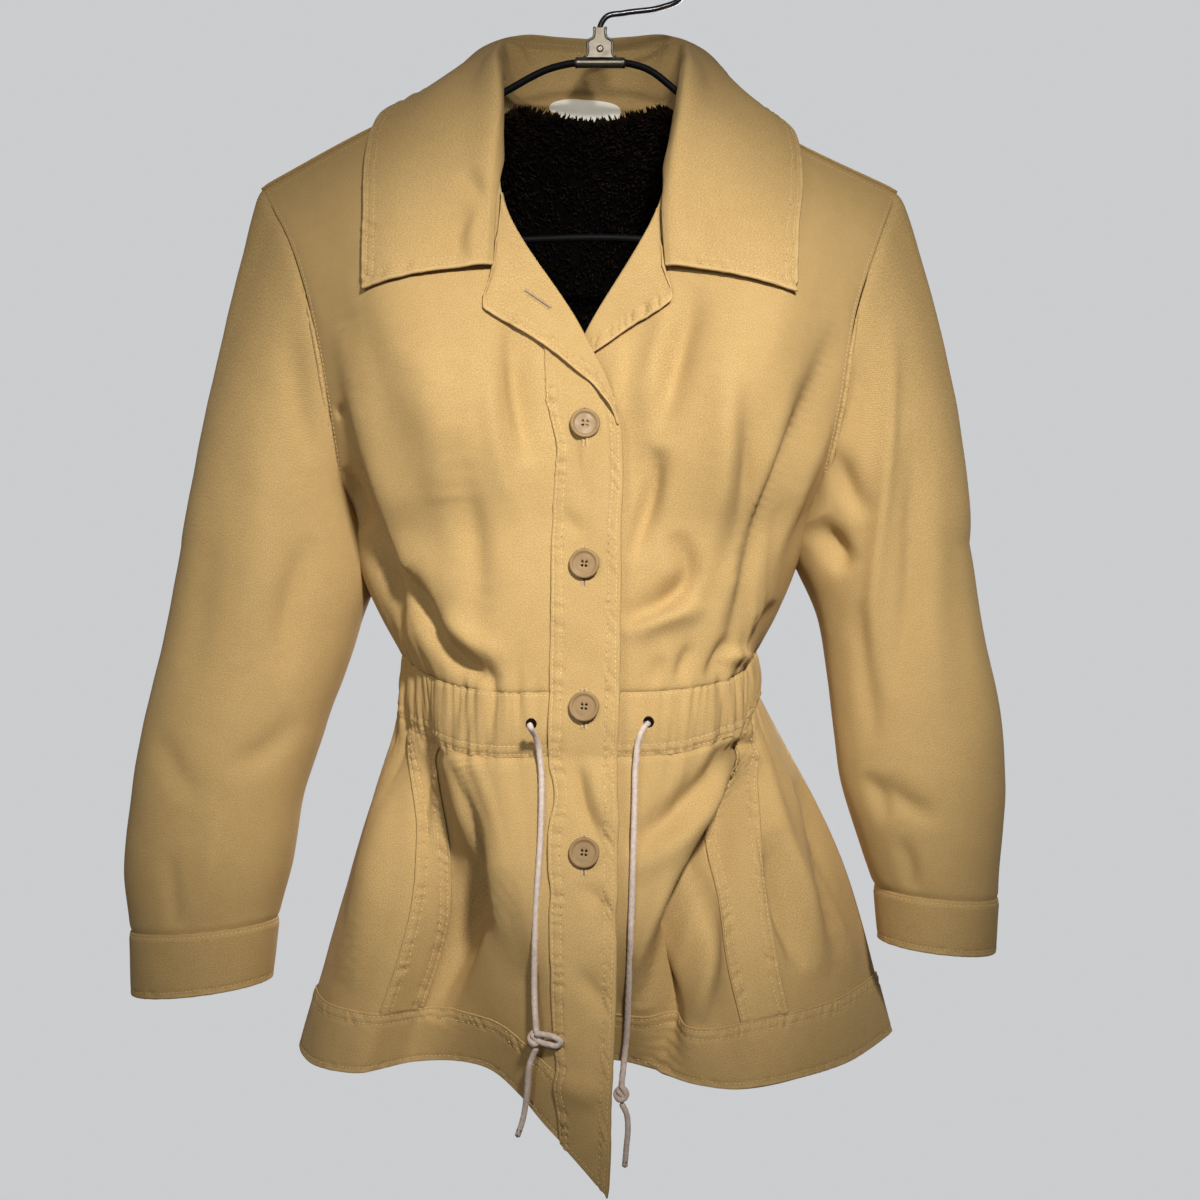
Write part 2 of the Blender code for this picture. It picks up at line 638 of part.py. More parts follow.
def sleeve(name, cuff_name, front, back, sections, end, outward, puff, material):
    """A sleeve and its cuff, both open tubes."""
    grid = trimmed(sleeve_grid(front, back, sections, outward, puff), ("top", "bottom"))
    inner = shift(grid, sleeve_inward(grid), CLOTH, closed=True)
    made = wall(name, grid, inner, material, closed=True)
    rings = np.stack([section_ring(sections[-1], outward), section_ring(end, outward)])
    band = trimmed(spline_rows(rings, np.linspace(0, 1, 3)), ("top",))
    way = band.mean(axis=1, keepdims=True) - band
    way[..., 2] = 0
    way /= np.linalg.norm(way, axis=-1, keepdims=True)
    cuff = wall(cuff_name, band, band + way * CLOTH, material, closed=True)
    return made, cuff


# Lapels, collar and label.

def lapel(name, edge, roll, tree, material):
    """The front's turned-back corner, lying on the front from the roll line to its own edge."""
    rows, columns = np.linspace(0, 1, 10), np.linspace(0, 1, 5)
    outer = along(np.array([(x, 0, -drop) for x, drop in edge], float), rows)
    inner = along(roll, rows)
    grid = inner[:, None] * (1 - columns[None, :, None]) + outer[:, None] * columns[None, :, None]
    for r, c in np.ndindex(grid.shape[:2]):
        y = front_of(tree, grid[r, c, 0], grid[r, c, 2])
        base = inner[r, 1] if y is None else y
        grid[r, c, 1] = base - LAY_GAP - LAPEL_LIFT * columns[c]
    lifted = grid - np.array([0, CLOTH, 0])
    return wall(name, lifted, grid, material)


def roll_line(edge, turned_drops):
    """The part of a front edge that is turned back, between two drops."""
    points = along(place(edge), np.linspace(0, 1, 200))
    first, last = turned_drops
    inside = (points[:, 2] <= -first) & (points[:, 2] >= -last)
    return points[inside]


def collar_grid():
    """The collar from its neck seam over the roll line to its free edge, at each section and between them."""
    neck, roll, free = (across(place([s[k] for s in COLLAR_SECTIONS]), 2) for k in range(3))
    crown = np.array(COLLAR_CROWN)
    fall = [roll + (free - roll) * t + crown * math.sin(math.pi * t) for t in (0.25, 0.5, 0.75)]
    return np.stack([neck, (neck + roll) / 2, roll, *fall, free])


# Building.

def clear_scene():
    for made in list(bpy.data.objects):
        bpy.data.objects.remove(made)


def build_bodice(tan):
    """The fronts and the back. Returns the right front's and the back's grids, which other pieces follow."""
    v_right = rows_through(place(EDGE_RIGHT), place(BREAK_RIGHT))
    right = front_grid(
        SHOULDER_RIGHT, EDGE_RIGHT, ARMHOLE_FRONT_RIGHT, SIDE_RIGHT, RIGHT_LINES, v_right, BULGES_RIGHT,
    )
    left = front_grid(SHOULDER_LEFT, EDGE_LEFT, ARMHOLE_FRONT_LEFT, SIDE_LEFT, LEFT_LINES, ROWS, BULGES_LEFT)
    back = back_grid(ROWS)
    front_right = cloth("front_right", right, ("top", "bottom", "last"), tan)
    left = tucked_behind(left, tree_of(front_right), CLOTH + OVERLAP_GAP)
    cloth("front_left", left, ("top", "bottom", "last"), tan)
    cloth("back", back, ("top", "bottom", "first", "last"), tan)
    return right, back


def build_skirt(tan):
    """The waist casing, skirt, hem bands and pocket strips. Returns the right casing's and skirt's grids."""
    casing_right, casing_left, casing_back = map(casing_grid, (RIGHT_LINES, LEFT_LINES, BACK_LINES))
    skirt_right, skirt_left, skirt_back = map(skirt_grid, (RIGHT_LINES, LEFT_LINES, BACK_LINES))
    made_casing = cloth("casing_right", casing_right, ("top", "bottom", "last"), tan)
    made_skirt = cloth("skirt_right", skirt_right, ("top", "last"), tan)
    cover = tree_of(made_casing, made_skirt)
    casing_left = tucked_behind(casing_left, cover, CLOTH + OVERLAP_GAP)
    skirt_left = tucked_behind(skirt_left, cover, CLOTH + OVERLAP_GAP)
    cloth("casing_left", casing_left, ("top", "bottom", "last"), tan)
    cloth("skirt_left", skirt_left, ("top", "last"), tan)
    cloth("casing_back", casing_back, ("top", "bottom", "first", "last"), tan)
    cloth("skirt_back", skirt_back, ("top", "first", "last"), tan)
    for name, grid, start in (
        ("hem_right", skirt_right, column_of(RIGHT_LINES, "placket_edge")),
        ("hem_left", skirt_left, column_of(LEFT_LINES, "under_edge") + 1),
        ("hem_back", skirt_back, 0),
    ):
        strip_on(name, grid, slice(-2, None), slice(start, None), ("first", "last"), tan)
    for name, grid, lines in (
        ("welt_right", skirt_right, RIGHT_LINES),
        ("welt_left", skirt_left, LEFT_LINES),
    ):
        first, last = column_of(lines, "welt_front"), column_of(lines, "welt_back")
        strip_on(name, grid, slice(0, -1), slice(first, last + 1), ("top", "bottom"), tan)
    return casing_right, skirt_right


def build_placket(right, casing, skirt, tan):
    """The button band down the right front, casing and skirt, cut on a slant under the turned-back corner."""
    columns = column_of(RIGHT_LINES, "placket_edge")
    break_row = int(np.abs(right[:, 0] - place(BREAK_RIGHT)).sum(axis=-1).argmin())
    band = slice(0, columns + 1)
    slant = np.array([facet_at(right, break_row - PLACKET_RISE * c / columns, c) for c in range(columns + 1)])
    whole = np.concatenate([slant[None], right[break_row + 1:, band], casing[1:, band], skirt[1:, band]])
    outs = [outward(grid) for grid in (right, casing, skirt)]
    out = np.concatenate([outs[0][break_row:, band], outs[1][1:, band], outs[2][1:, band]])
    wall("placket", whole + out * (PLACKET_LAY + STRIP), whole + out * PLACKET_LAY, tan)


def build_lining(back, pile):
    """The pile inside the back, which shows through the open neck."""
    rows, columns = back.shape[:2]
    gap = np.interp(np.arange(rows), (0, 3, 6), (LINING_GAP_AT_NECK, LINING_GAP_AT_NECK, LINING_GAP))
    inner = shift(back, to_core(back), CLOTH + gap[:, None, None])
    from_middle = np.abs(np.linspace(-1, 1, columns))
    first = np.interp(from_middle, *np.array(LINING_TOP).T)
    second = np.maximum(first + 0.5, 1)
    lower = np.arange(2, rows - 1)[:, None] + np.zeros(columns)
    where = np.concatenate([first[None], second[None], lower])
    grid = np.stack([spline(inner[:, c], where[:, c]) for c in range(2, columns - 2)], axis=1)
    return wall("lining_back", grid, shift(grid, to_core(grid), PILE), pile)


def sewn_to_neck(under):
    """The collar with its seam set just off the neck edge of the fronts and back."""
    shares = np.linspace(0, 1, 400)
    right, left = along(place(EDGE_RIGHT), shares), along(place(EDGE_LEFT), shares)
    neck = along(place(NECK_BACK), shares)
    edges = np.concatenate([
        right + (COLLAR_OFF_EDGE, -COLLAR_OFF_EDGE, COLLAR_OFF_NECK),
        left + (-COLLAR_OFF_EDGE, -COLLAR_OFF_EDGE, COLLAR_OFF_NECK),
        neck + (0, 0, COLLAR_OFF_NECK),
    ])
    for c in range(2 * SEWN_SECTIONS[0], 2 * SEWN_SECTIONS[1] + 1):
        seam = edges[np.linalg.norm(edges - under[0, c], axis=1).argmin()]
        under[1, c] += (seam - under[0, c]) / 2
        under[0, c] = seam
    return under


def build_collar(tan, tree):
    """The collar, laid on the fronts where it falls over them and kept clear of the rest of the bodice."""
    under = sewn_to_neck(collar_grid())
    for r, c in np.ndindex(under.shape[:2]):
        x, y, z = under[r, c]
        front = front_of(tree, x, z)
        if r > 2 and y < -8 and front is not None:
            under[r, c, 1] = min(y, front - COLLAR_LIFT)
    under[3:] = kept_clear(under[3:], tree, COLLAR_LIFT)
    for _ in range(2):
        under[3:-1, 1:-1] = (under[3:-1, :-2] + 2 * under[3:-1, 1:-1] + under[3:-1, 2:]) / 4
    up = normals(under)
    if up[0, len(under[0]) // 2, 1] > 0:
        up = -up
    upper = under + up * COLLAR_CLOTH
    wall("collar", upper, under, tan)
    return upper


def build_label(upper, white):
    """The neck label, made from the collar's inner points at the back and moved out."""
    middle = upper.shape[1] // 2
    across_share = np.linspace(-1, 1, 7)
    rows = []
    for rise, half in LABEL_ROWS:
        columns = middle + LABEL_SHIFT + across_share * half
        rows.append([facet_at(upper, rise, c) for c in columns])
    grid = np.array(rows)
    out = normals(grid)
    if out[0, 3, 1] > 0:
        out = -out
    wall("label", grid + out * (LAY_GAP + LABEL_CLOTH), grid + out * LAY_GAP, white)


def facet_at(grid, row, column):
    """One point of a grid between its rows and columns, on its flat facets."""
    r, c = int(row), int(column)
    a, b = row - r, column - c
    near = (1 - b) * grid[r, c] + b * grid[r, c + 1]
    far = (1 - b) * grid[r + 1, c] + b * grid[r + 1, c + 1]
    return (1 - a) * near + a * far


def build_buttons(tan, tree):
    """Dished buttons, each lying on the band's own slope."""
    radius = BUTTON_DIAMETER / 2
    top = BUTTON_THICKNESS
    profile = (
        (radius - 1.2, 0), (radius, 1.2), (radius, top - 0.8), (radius - 0.8, top),
        (radius - 1.8, top), (radius - 3.0, top - 1.0), (2.0, top - 1.1),
    )
    for k in range(BUTTON_COUNT):
        middle = (BUTTON_X, -(BUTTON_TOP_DROP + BUTTON_PITCH * k))
        turns = np.arange(8) * math.pi / 4
        ring = [(middle[0] + radius * math.cos(a), middle[1] + radius * math.sin(a)) for a in turns]
        spots = np.array([(x, front_of(tree, x, z), z) for x, z in [middle] + ring])
        facing = Vector(np.cross(spots[1] - spots[5], spots[3] - spots[7])).normalized()
        height = ((spots - spots[0]) @ np.array(facing)).max()
        at = spots[0] + np.array(facing) * (height + LAY_GAP)
        turned(f"button_{k + 1}", profile, 24, at, facing, tan)


def hung(route, tree, clearance):
    """A cord's route laid just in front of what it hangs against."""
    points = along(np.array([(x, 0, -drop) for x, drop in route], float), np.linspace(0, 1, 3 * len(route)))
    ys = [front_of(tree, x, z) for x, _, z in points]
    seen = [y for y in ys if y is not None] or [0.0]
    ys = np.array([seen[-1] if y is None else y for y in ys])
    for _ in range(3):
        ys = np.minimum(ys, np.convolve(np.pad(ys, 1, mode="edge"), (0.25, 0.5, 0.25), mode="valid"))
    points[:, 1] = ys - clearance
    return points


def out_of_eyelet(points, casing, material):
    """Cuts the eyelet in the casing and starts the cord inside it."""
    x, y, z = points[0]
    surface_y = y + CORD_DIAMETER / 2 + CORD_GAP
    name = f"cut_eyelet_{casing.name}"
    cut(casing, rod(name, EYELET_RADIUS, (x, surface_y - 8, z), (x, surface_y + 8, z), material, 16))
    start = np.array([(x, surface_y + 0.5, z + 0.2), (x, surface_y - 1.6, z - 0.4)])
    return np.concatenate([start, points[1:]])


def ball(name, at, half, material):
    """An oval ball with three half sizes."""
    maker = bmesh.new()
    bmesh.ops.create_uvsphere(maker, u_segments=12, v_segments=8, radius=1)
    for v in maker.verts:
        v.co = Vector((np.array(at) + np.array(v.co) * half) * MM)
    return finish(name, maker, material)


def build_cords(pale, tree):
    """The two drawstring ends, each with its knot and the tail below it."""
    for side, route, tail in (("right", CORD_RIGHT, TAIL_RIGHT), ("left", CORD_LEFT, TAIL_LEFT)):
        clearance = CORD_DIAMETER / 2 + CORD_GAP
        points = out_of_eyelet(hung(route, tree, clearance), bpy.data.objects[f"casing_{side}"], pale)
        forward = KNOT_HALF[1] - CORD_DIAMETER / 2 + KNOT_PROUD
        points[-3:, 1] -= forward * np.array((0.25, 0.7, 1.0))
        tube(f"cord_{side}", points, CORD_DIAMETER, pale)
        knot = points[-1] - (0, 0, KNOT_HALF[2] + SEAM_GAP)
        ball(f"knot_{side}", knot, KNOT_HALF, pale)
        free = hung(tail, tree, clearance)
        free += (0, knot[1] - free[0, 1], 0)
        free += knot - (0, 0, KNOT_HALF[2] + 2 * SEAM_GAP) - free[0]
        tube(f"tail_{side}", free, CORD_DIAMETER, pale)


def build_hanger(black, nickel):
    """The bent frame, the clip that closes it at the top, the clip's rivet and the hook."""
    line = np.array([(x, HANGER_Y, -drop) for x, drop in HANGER_LINE], float)
    tube("hanger_frame", line, HANGER_WIRE, black, closed=True)
    hook = along(np.array([(x, HANGER_Y, -drop) for x, drop in HOOK_LINE], float), np.linspace(0, 1, 40))
    tube("hanger_hook", hook, HOOK_WIRE, black)
    outline = [(-w, drop) for w, drop in CLIP_HALF] + [(w, drop) for w, drop in CLIP_HALF[::-1]]
    maker = bmesh.new()
    faces = []
    for y in (HANGER_Y - CLIP_DEPTH / 2, HANGER_Y + CLIP_DEPTH / 2):
        faces.append([maker.verts.new((x * MM, y * MM, -drop * MM)) for x, drop in outline])
    maker.faces.new(faces[0])
    maker.faces.new(faces[1][::-1])
    for k in range(len(outline)):
        n = (k + 1) % len(outline)
        maker.faces.new((faces[0][k], faces[1][k], faces[1][n], faces[0][n]))
    clip = finish("hanger_clip", maker, nickel)
    through = np.array([(-30, HANGER_Y, -HANGER_LINE[0][1]), (30, HANGER_Y, -HANGER_LINE[0][1])])
    cut(clip, rod("cut_frame", HANGER_WIRE / 2 + SEAM_GAP, *through, black, 16))
    socket = np.array([(0, HANGER_Y, 10 - CLIP_HALF[0][1]), (0, HANGER_Y, -1 - HOOK_LINE[0][1])])
    cut(clip, rod("cut_hook", HOOK_WIRE / 2 + SEAM_GAP, *socket, black, 16))
    dome = ((RIVET_RADIUS, 0), (RIVET_RADIUS * 0.85, 0.7), (RIVET_RADIUS * 0.45, 1.1))
    seat = (0, HANGER_Y - CLIP_DEPTH / 2 - SEAM_GAP, -RIVET_DROP)
    turned("hanger_rivet", dome, 12, seat, (0, -1, 0), nickel)


def main():
    clear_scene()
    tan = surface("tan_twill", TAN, 0.8)
    pile = surface("dark_pile", DARK_PILE, 0.95)
    pale = surface("pale_cord", PALE_CORD, 0.8)
    black = surface("black_wire", BLACK_WIRE, 0.3)
    nickel = surface("nickel", NICKEL, 0.3, 1.0)
    white = surface("label_cloth", LABEL_WHITE, 0.8)
    right, back = build_bodice(tan)
    casing, skirt = build_skirt(tan)
    build_placket(right, casing, skirt, tan)
    holes_right = (ARMHOLE_FRONT_RIGHT, ARMHOLE_BACK_RIGHT)
    holes_left = (ARMHOLE_FRONT_LEFT, ARMHOLE_BACK_LEFT)
    sleeve("sleeve_right", "cuff_right", *holes_right, SLEEVE_RIGHT, CUFF_END_RIGHT, -1, HEAD_PUFF_RIGHT, tan)
    sleeve("sleeve_left", "cuff_left", *holes_left, SLEEVE_LEFT, CUFF_END_LEFT, 1, HEAD_PUFF_LEFT, tan)
    build_lining(back, pile)
    solid = bpy.data.objects
    under_right = tree_of(solid["front_right"], solid["placket"])
    lapel("lapel_right", LAPEL_EDGE_RIGHT, roll_line(EDGE_RIGHT, TURNED_RIGHT), under_right, tan)
    lapel("lapel_left", LAPEL_EDGE_LEFT, roll_line(EDGE_LEFT, TURNED_LEFT), tree_of(solid["front_left"]), tan)
    body = [solid[n] for n in ("front_right", "front_left", "back", "lapel_right", "lapel_left")]
    build_label(build_collar(tan, tree_of(*body)), white)
    build_buttons(tan, tree_of(solid["placket"]))
    below_waist = ("casing_right", "casing_left", "skirt_right", "skirt_left", "hem_right", "hem_left")
    build_cords(pale, tree_of(solid["placket"], *(solid[n] for n in below_waist)))
    build_hanger(black, nickel)


main()
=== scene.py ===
"""The looks of a pile-lined tan coat with a drawstring waist, hanging on a wire hanger.

Each piece of cloth is a thin shell on the form of its solid, with its folds, gathers, seams and stitches.
Sizes are millimetres until a mesh is made. A place is written (x, y, drop): x to the viewer's right, y away
from the viewer, drop below the hook's crown. Left and right in names are the wearer's.
"""

import math

import bpy
import numpy as np
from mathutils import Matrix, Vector
from mathutils.bvhtree import BVHTree


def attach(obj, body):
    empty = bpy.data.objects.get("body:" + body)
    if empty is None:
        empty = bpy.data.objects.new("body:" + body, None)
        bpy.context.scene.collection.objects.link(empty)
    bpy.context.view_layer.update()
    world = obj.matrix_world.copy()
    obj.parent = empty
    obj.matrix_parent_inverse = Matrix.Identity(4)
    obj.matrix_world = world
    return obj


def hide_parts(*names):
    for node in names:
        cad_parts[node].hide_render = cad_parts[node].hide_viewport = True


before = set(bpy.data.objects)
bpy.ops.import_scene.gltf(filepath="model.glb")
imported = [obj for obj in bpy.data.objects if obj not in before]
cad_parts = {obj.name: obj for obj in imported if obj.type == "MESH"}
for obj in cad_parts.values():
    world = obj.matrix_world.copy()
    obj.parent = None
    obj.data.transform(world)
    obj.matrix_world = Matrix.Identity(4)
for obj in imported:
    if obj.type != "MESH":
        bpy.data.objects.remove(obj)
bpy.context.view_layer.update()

MM = 0.001
# Thickness of the cloth, of the strips sewn on it, of the collar, and of the solids' cloth walls.
CLOTH = 1.7
STRIP = 1.1
COLLAR_CLOTH = 2.4
CAD_CLOTH = 2.0
# The gap under what lies on cloth, the gap where the fronts overlap, and how far past the edge that reaches.
LAY_GAP = 0.5
OVERLAP_GAP = 4.0
TUCK_REACH = 10.0
# A y in front of everything, to look back from.
BEFORE_ALL = -1000

# The camera stands straight in front of the coat. Places and sizes in metres.
CAMERA_AT = (0, -1.3, -0.470)
CAMERA_LENS = 36 * 1.3 / 0.84
CAMERA_SENSOR = 36

# The core inside the body: drop, left x, right x.
CORE_ROWS = ((120, -150, 130), (250, -150, 130), (400, -120, 95), (520, -85, 60), (790, -140, 135))
CORE_Y = -8.0
CORE_BELOW_SHOULDER = 45.0

# Shoulder seams from the neck to the sleeve head: x, y, drop.
SHOULDER_RIGHT = ((-71, -2, 106), (-116, -2, 120), (-161, -1, 140), (-237, 0, 181))
SHOULDER_LEFT = ((59, -2, 106), (98, -2, 128), (138, -1, 150), (208, 0, 183))
NECK_BACK = ((-71, -2, 106), (-58, 33, 113), (-6, 52, 121), (46, 33, 113), (59, -2, 106))

# Armholes from the shoulder down to the underarm: x, y, drop.
ARMHOLE_FRONT_RIGHT = (
    (-237, 0, 181), (-213, -27, 224), (-196, -44, 275), (-184, -49, 335), (-177, -36, 388), (-175, 0, 418),
)
ARMHOLE_FRONT_LEFT = (
    (208, 0, 183), (190, -29, 226), (173, -47, 276), (163, -52, 335), (153, -38, 388), (149, 0, 416),
)
ARMHOLE_BACK_RIGHT = (
    (-237, 0, 181), (-218, 28, 226), (-205, 46, 280), (-195, 52, 340), (-184, 36, 394), (-175, 0, 418),
)
ARMHOLE_BACK_LEFT = (
    (208, 0, 183), (193, 30, 228), (180, 48, 280), (171, 53, 340), (159, 36, 392), (149, 0, 416),
)

# Side seams from the underarm to the waist casing: x, y, drop.
SIDE_RIGHT = ((-175, 0, 418), (-163, 4, 462), (-134, 8, 505))
SIDE_LEFT = ((149, 0, 416), (133, 4, 460), (109, 8, 505))

# Front edges: the turned-back neck down to the first button, then the straight edge: x, y, drop.
EDGE_RIGHT = (
    (-71, -2, 106), (-69, -40, 162), (-66, -58, 199), (-11, -83, 297), (9, -90, 340), (12, -104, 430),
    (11, -117, 529),
)
EDGE_LEFT = (
    (59, -2, 106), (48, -38, 171), (39, -55, 207), (-12, -70, 299), (-33, -80, 345), (-33, -98, 430),
    (-32, -109, 529),
)
BREAK_RIGHT = (9, -90, 340)
CENTRE_BACK = ((-6, 52, 121), (-8, 76, 200), (-9, 86, 330), (-11, 86, 430), (-12, 82, 497))

# Lines that run down the waist and skirt.
# Columns: casing top (x, y, drop), skirt top (x, y, drop), half way down (x, y), hem (x, y, drop).
RIGHT_LINES = (
    ((11, -117, 529), (10, -120, 570), (9, -142), (4, -165, 834)),
    ((-31, -114, 529), (-31, -117, 570), (-33, -138), (-31, -138, 801)),
    ((-72, -104, 529), (-71, -107, 571), (-60, -122), (-72, -86, 776)),
    ((-103, -80, 524), (-102, -87, 566), (-81, -100), (-98, -63, 776)),
    ((-118, -55, 519), (-113, -62, 559), (-99, -64), (-129, -57, 779)),
    ((-129, -28, 513), (-131, -34, 553), (-122, -72), (-158, -73, 782)),
    ((-134, -8, 508), (-138, -10, 546), (-156, -48), (-191, -50, 783)),
    ((-134, 8, 505), (-138, 12, 541), (-173, 8), (-212, 12, 783)),
)
LEFT_LINES = (
    ((-32, -109, 529), (-33, -112, 570), (-33, -126), (-30, -82, 769)),
    ((12, -111, 529), (13, -114, 570), (14, -129), (19, -93, 770)),
    ((58, -102, 527), (52, -108, 568), (45, -128), (58, -118, 777)),
    ((88, -76, 521), (88, -80, 558), (65, -110), (86, -122, 780)),
    ((97, -54, 515), (97, -58, 554), (76, -86), (98, -118, 780)),
    ((103, -30, 510), (104, -34, 547), (108, -75), (129, -94, 780)),
    ((108, -10, 507), (110, -10, 541), (142, -42), (169, -48, 780)),
    ((109, 8, 505), (112, 12, 537), (168, 8), (206, 10, 774)),
)
BACK_LINES = (
    ((-134, 8, 505), (-138, 12, 541), (-173, 8), (-212, 12, 783)),
    ((-104, 58, 500), (-108, 62, 537), (-137, 84), (-166, 106, 785)),
    ((-66, 75, 497), (-68, 78, 535), (-82, 82), (-102, 94, 783)),
    ((-37, 81, 497), (-38, 85, 535), (-43, 107), (-50, 132, 786)),
    ((-12, 82, 497), (-12, 86, 535), (-12, 99), (-8, 118, 784)),
    ((14, 81, 497), (15, 85, 535), (27, 106), (43, 129, 785)),
    ((46, 74, 497), (48, 77, 535), (68, 83), (93, 95, 782)),
    ((83, 56, 500), (86, 60, 535), (124, 82), (160, 100, 779)),
    ((109, 8, 505), (112, 12, 537), (168, 8), (206, 10, 774)),
)
HALF_WAY_SHARE = 0.45
HEM_DEPTH_SHARE = 0.17
WAIST_PUFF = 2.0

# Sleeve sections below the armhole. Columns: centre (x, y), half width, half depth, outer drop, inner drop.
SLEEVE_RIGHT = (
    ((-231, 2), 61, 54, 432, 446),
    ((-236, 0), 66, 52, 484, 488),
    ((-254, -8), 63, 50, 558, 558),
    ((-265, -16), 59, 48, 612, 610),
    ((-269, -22), 57, 46, 656, 652),
    ((-271, -26), 50, 42, 696, 688),
)
SLEEVE_LEFT = (
    ((203, 2), 55, 54, 428, 444),
    ((210, 0), 56, 53, 482, 486),
    ((220, -8), 58, 51, 551, 551),
    ((223, -14), 57, 50, 594, 592),
    ((228, -20), 47, 46, 646, 642),
    ((231, -22), 42, 43, 674, 667),
)
HEAD_PUFF_RIGHT = 4.0
HEAD_PUFF_LEFT = 10.0
CUFF_END_RIGHT = ((-272, -28), 47, 40, 738, 728)
CUFF_END_LEFT = ((231, -24), 39, 41, 710, 702)

# Lapels: the outer edge from the gorge to the break: x, drop.
LAPEL_EDGE_RIGHT = (
    (-69, 250), (-73, 266), (-76, 276), (-75.5, 279.5), (-72, 282), (-46, 297), (-16, 319), (0, 334),
    (6.5, 345), (9, 356),
)
LAPEL_EDGE_LEFT = (
    (41, 249), (44.5, 261), (47, 269), (46.5, 272.5), (43, 275.5), (20, 289.5), (-4, 306), (-10, 309.5),
)
# The stretch of each front edge that is turned back: first drop, last drop.
TURNED_RIGHT = (199, 357)
TURNED_LEFT = (207, 299)
LAPEL_LIFT = 1.7

# Collar sections from the right front end round the back to the left front end.
# Columns: neck seam, roll line, free edge, each (x, y, drop).
COLLAR_SECTIONS = (
    ((-71, -81, 250), (-74, -82, 250), (-155, -79, 266)),
    ((-70, -64, 203), (-72, -66, 202), (-158, -52, 206)),
    ((-67, -51, 172), (-69, -55, 167), (-160, -30, 181)),
    ((-68, -29, 142), (-67, -36, 134), (-160, -19, 159)),
    ((-70, -3, 104), (-71, -5, 92), (-153, 1, 131)),
    ((-66, 17, 108), (-73, 24, 77), (-112, 27, 104)),
    ((-56, 32, 112), (-73, 44, 66), (-84, 46, 71)),
    ((-40, 43, 115), (-54, 53, 64), (-55, 55, 62)),
    ((-6, 52, 120), (-6, 60, 65), (-6, 62, 62)),
    ((29, 43, 115), (46, 53, 64), (47, 55, 62)),
    ((45, 32, 112), (63, 44, 67), (74, 46, 73)),
    ((54, 17, 108), (62, 24, 79), (100, 27, 110)),
    ((58, -3, 104), (59, -5, 94), (135, 1, 143)),
    ((56, -27, 146), (54, -36, 138), (138, -19, 171)),
    ((47, -46, 176), (48, -51, 171), (137, -33, 191)),
    ((43, -60, 208), (45, -62, 206), (133, -53, 215)),
    ((44, -73, 249), (47, -74, 249), (128, -80, 268)),
)
SEWN_SECTIONS = (2, 14)
# The collar's grid: the row of its roll line, the columns at each end that are kept off the fronts, the y in
# front of which it lies on them, and the columns each side of the middle that stand up.
ROLL_ROW = 2
COLLAR_FRONT_COLUMNS = 9
COLLAR_FRONT_Y = -8
STANDING_COLUMNS = 3
COLLAR_LIFT = 3.0
# At the back, where each row of the collar lies on its way from the neck seam to its roll line and past it.
STANDING_ROWS = (0, 0.48, 0.90, 0.95, 1.0, 1.05, 1.09)
COLLAR_CROWN = (0, -1.5, 1.5)
COLLAR_OFF_EDGE = 1.6
COLLAR_OFF_NECK = 0.9

# The label on the collar, an arch: height in collar rows above the neck seam, half width in collar columns,
# and how far its lower edge goes down behind the pile.
LABEL_RISE = 0.5
LABEL_HALF = 1.5
LABEL_TUCK = 5.0
LABEL_SHIFT = -0.3

LINING_GAP = 0.8
LINING_GAP_AT_NECK = 4.0
# The lining's top edge: share of the back's half width from the middle, rows of the back below its top.
LINING_TOP = ((0, 0.02), (0.18, 0.05), (0.26, 0.2), (0.32, 0.8), (0.4, 1), (1, 1))

# Free drawstring ends: x and drop of each point of the route, as they hang.
CORD_DIAMETER = 4.0
CORD_GAP = 0.8
CORD_RIGHT = (
    (-44, 549), (-41, 556), (-38, 572), (-37, 597), (-38, 628), (-40, 660), (-41, 692), (-41, 722),
    (-40, 737),
)
TAIL_RIGHT = ((-44, 741), (-48, 752), (-50, 772), (-53, 790), (-56, 799))
CORD_LEFT = (
    (31, 548), (26, 555), (23, 571), (22, 597), (21, 628), (20, 660), (19, 692), (18, 722), (17, 752),
    (14, 782),
)
TAIL_LEFT = ((18, 785), (21, 791), (22, 801), (21, 813), (20, 825))
KNOT_HALF = (7.0, 5.0, 6.0)
KNOT_PROUD = 2.7
EYELET_RADIUS = 3.0

# Hanger: the frame's line (x, drop) round from the middle of the clip, and the hook's up from the clip.
HANGER_Y = -3.0
HANGER_WIRE = 5.0
HOOK_WIRE = 4.0
HANGER_LINE = (
    (0, 95), (-18, 95), (-32, 98), (-72, 118), (-161, 156), (-200, 176), (-210, 187), (-206, 199),
    (-186, 207), (0, 217), (158, 211), (177, 203), (183, 193), (176, 182), (138, 163), (58, 118),
    (30, 98), (18, 95),
)
HOOK_LINE = (
    (0, 80), (0, 75), (0, 70), (4, 63), (17, 60), (43, 56), (55, 51), (60, 40), (54, 20), (40, 7), (20, 0),
    (0, -2), (-18, 2), (-30, 13), (-33, 26),
)
# Half of the clip's outline: half width, drop.
CLIP_HALF = (
    (4, 71), (4, 76), (4.8, 78.4), (7, 79.6), (8.4, 81), (8.4, 88), (9.2, 90.4), (11, 91.6), (17, 92),
)
CLIP_DEPTH = 7.6
RIVET_DROP = 86.0

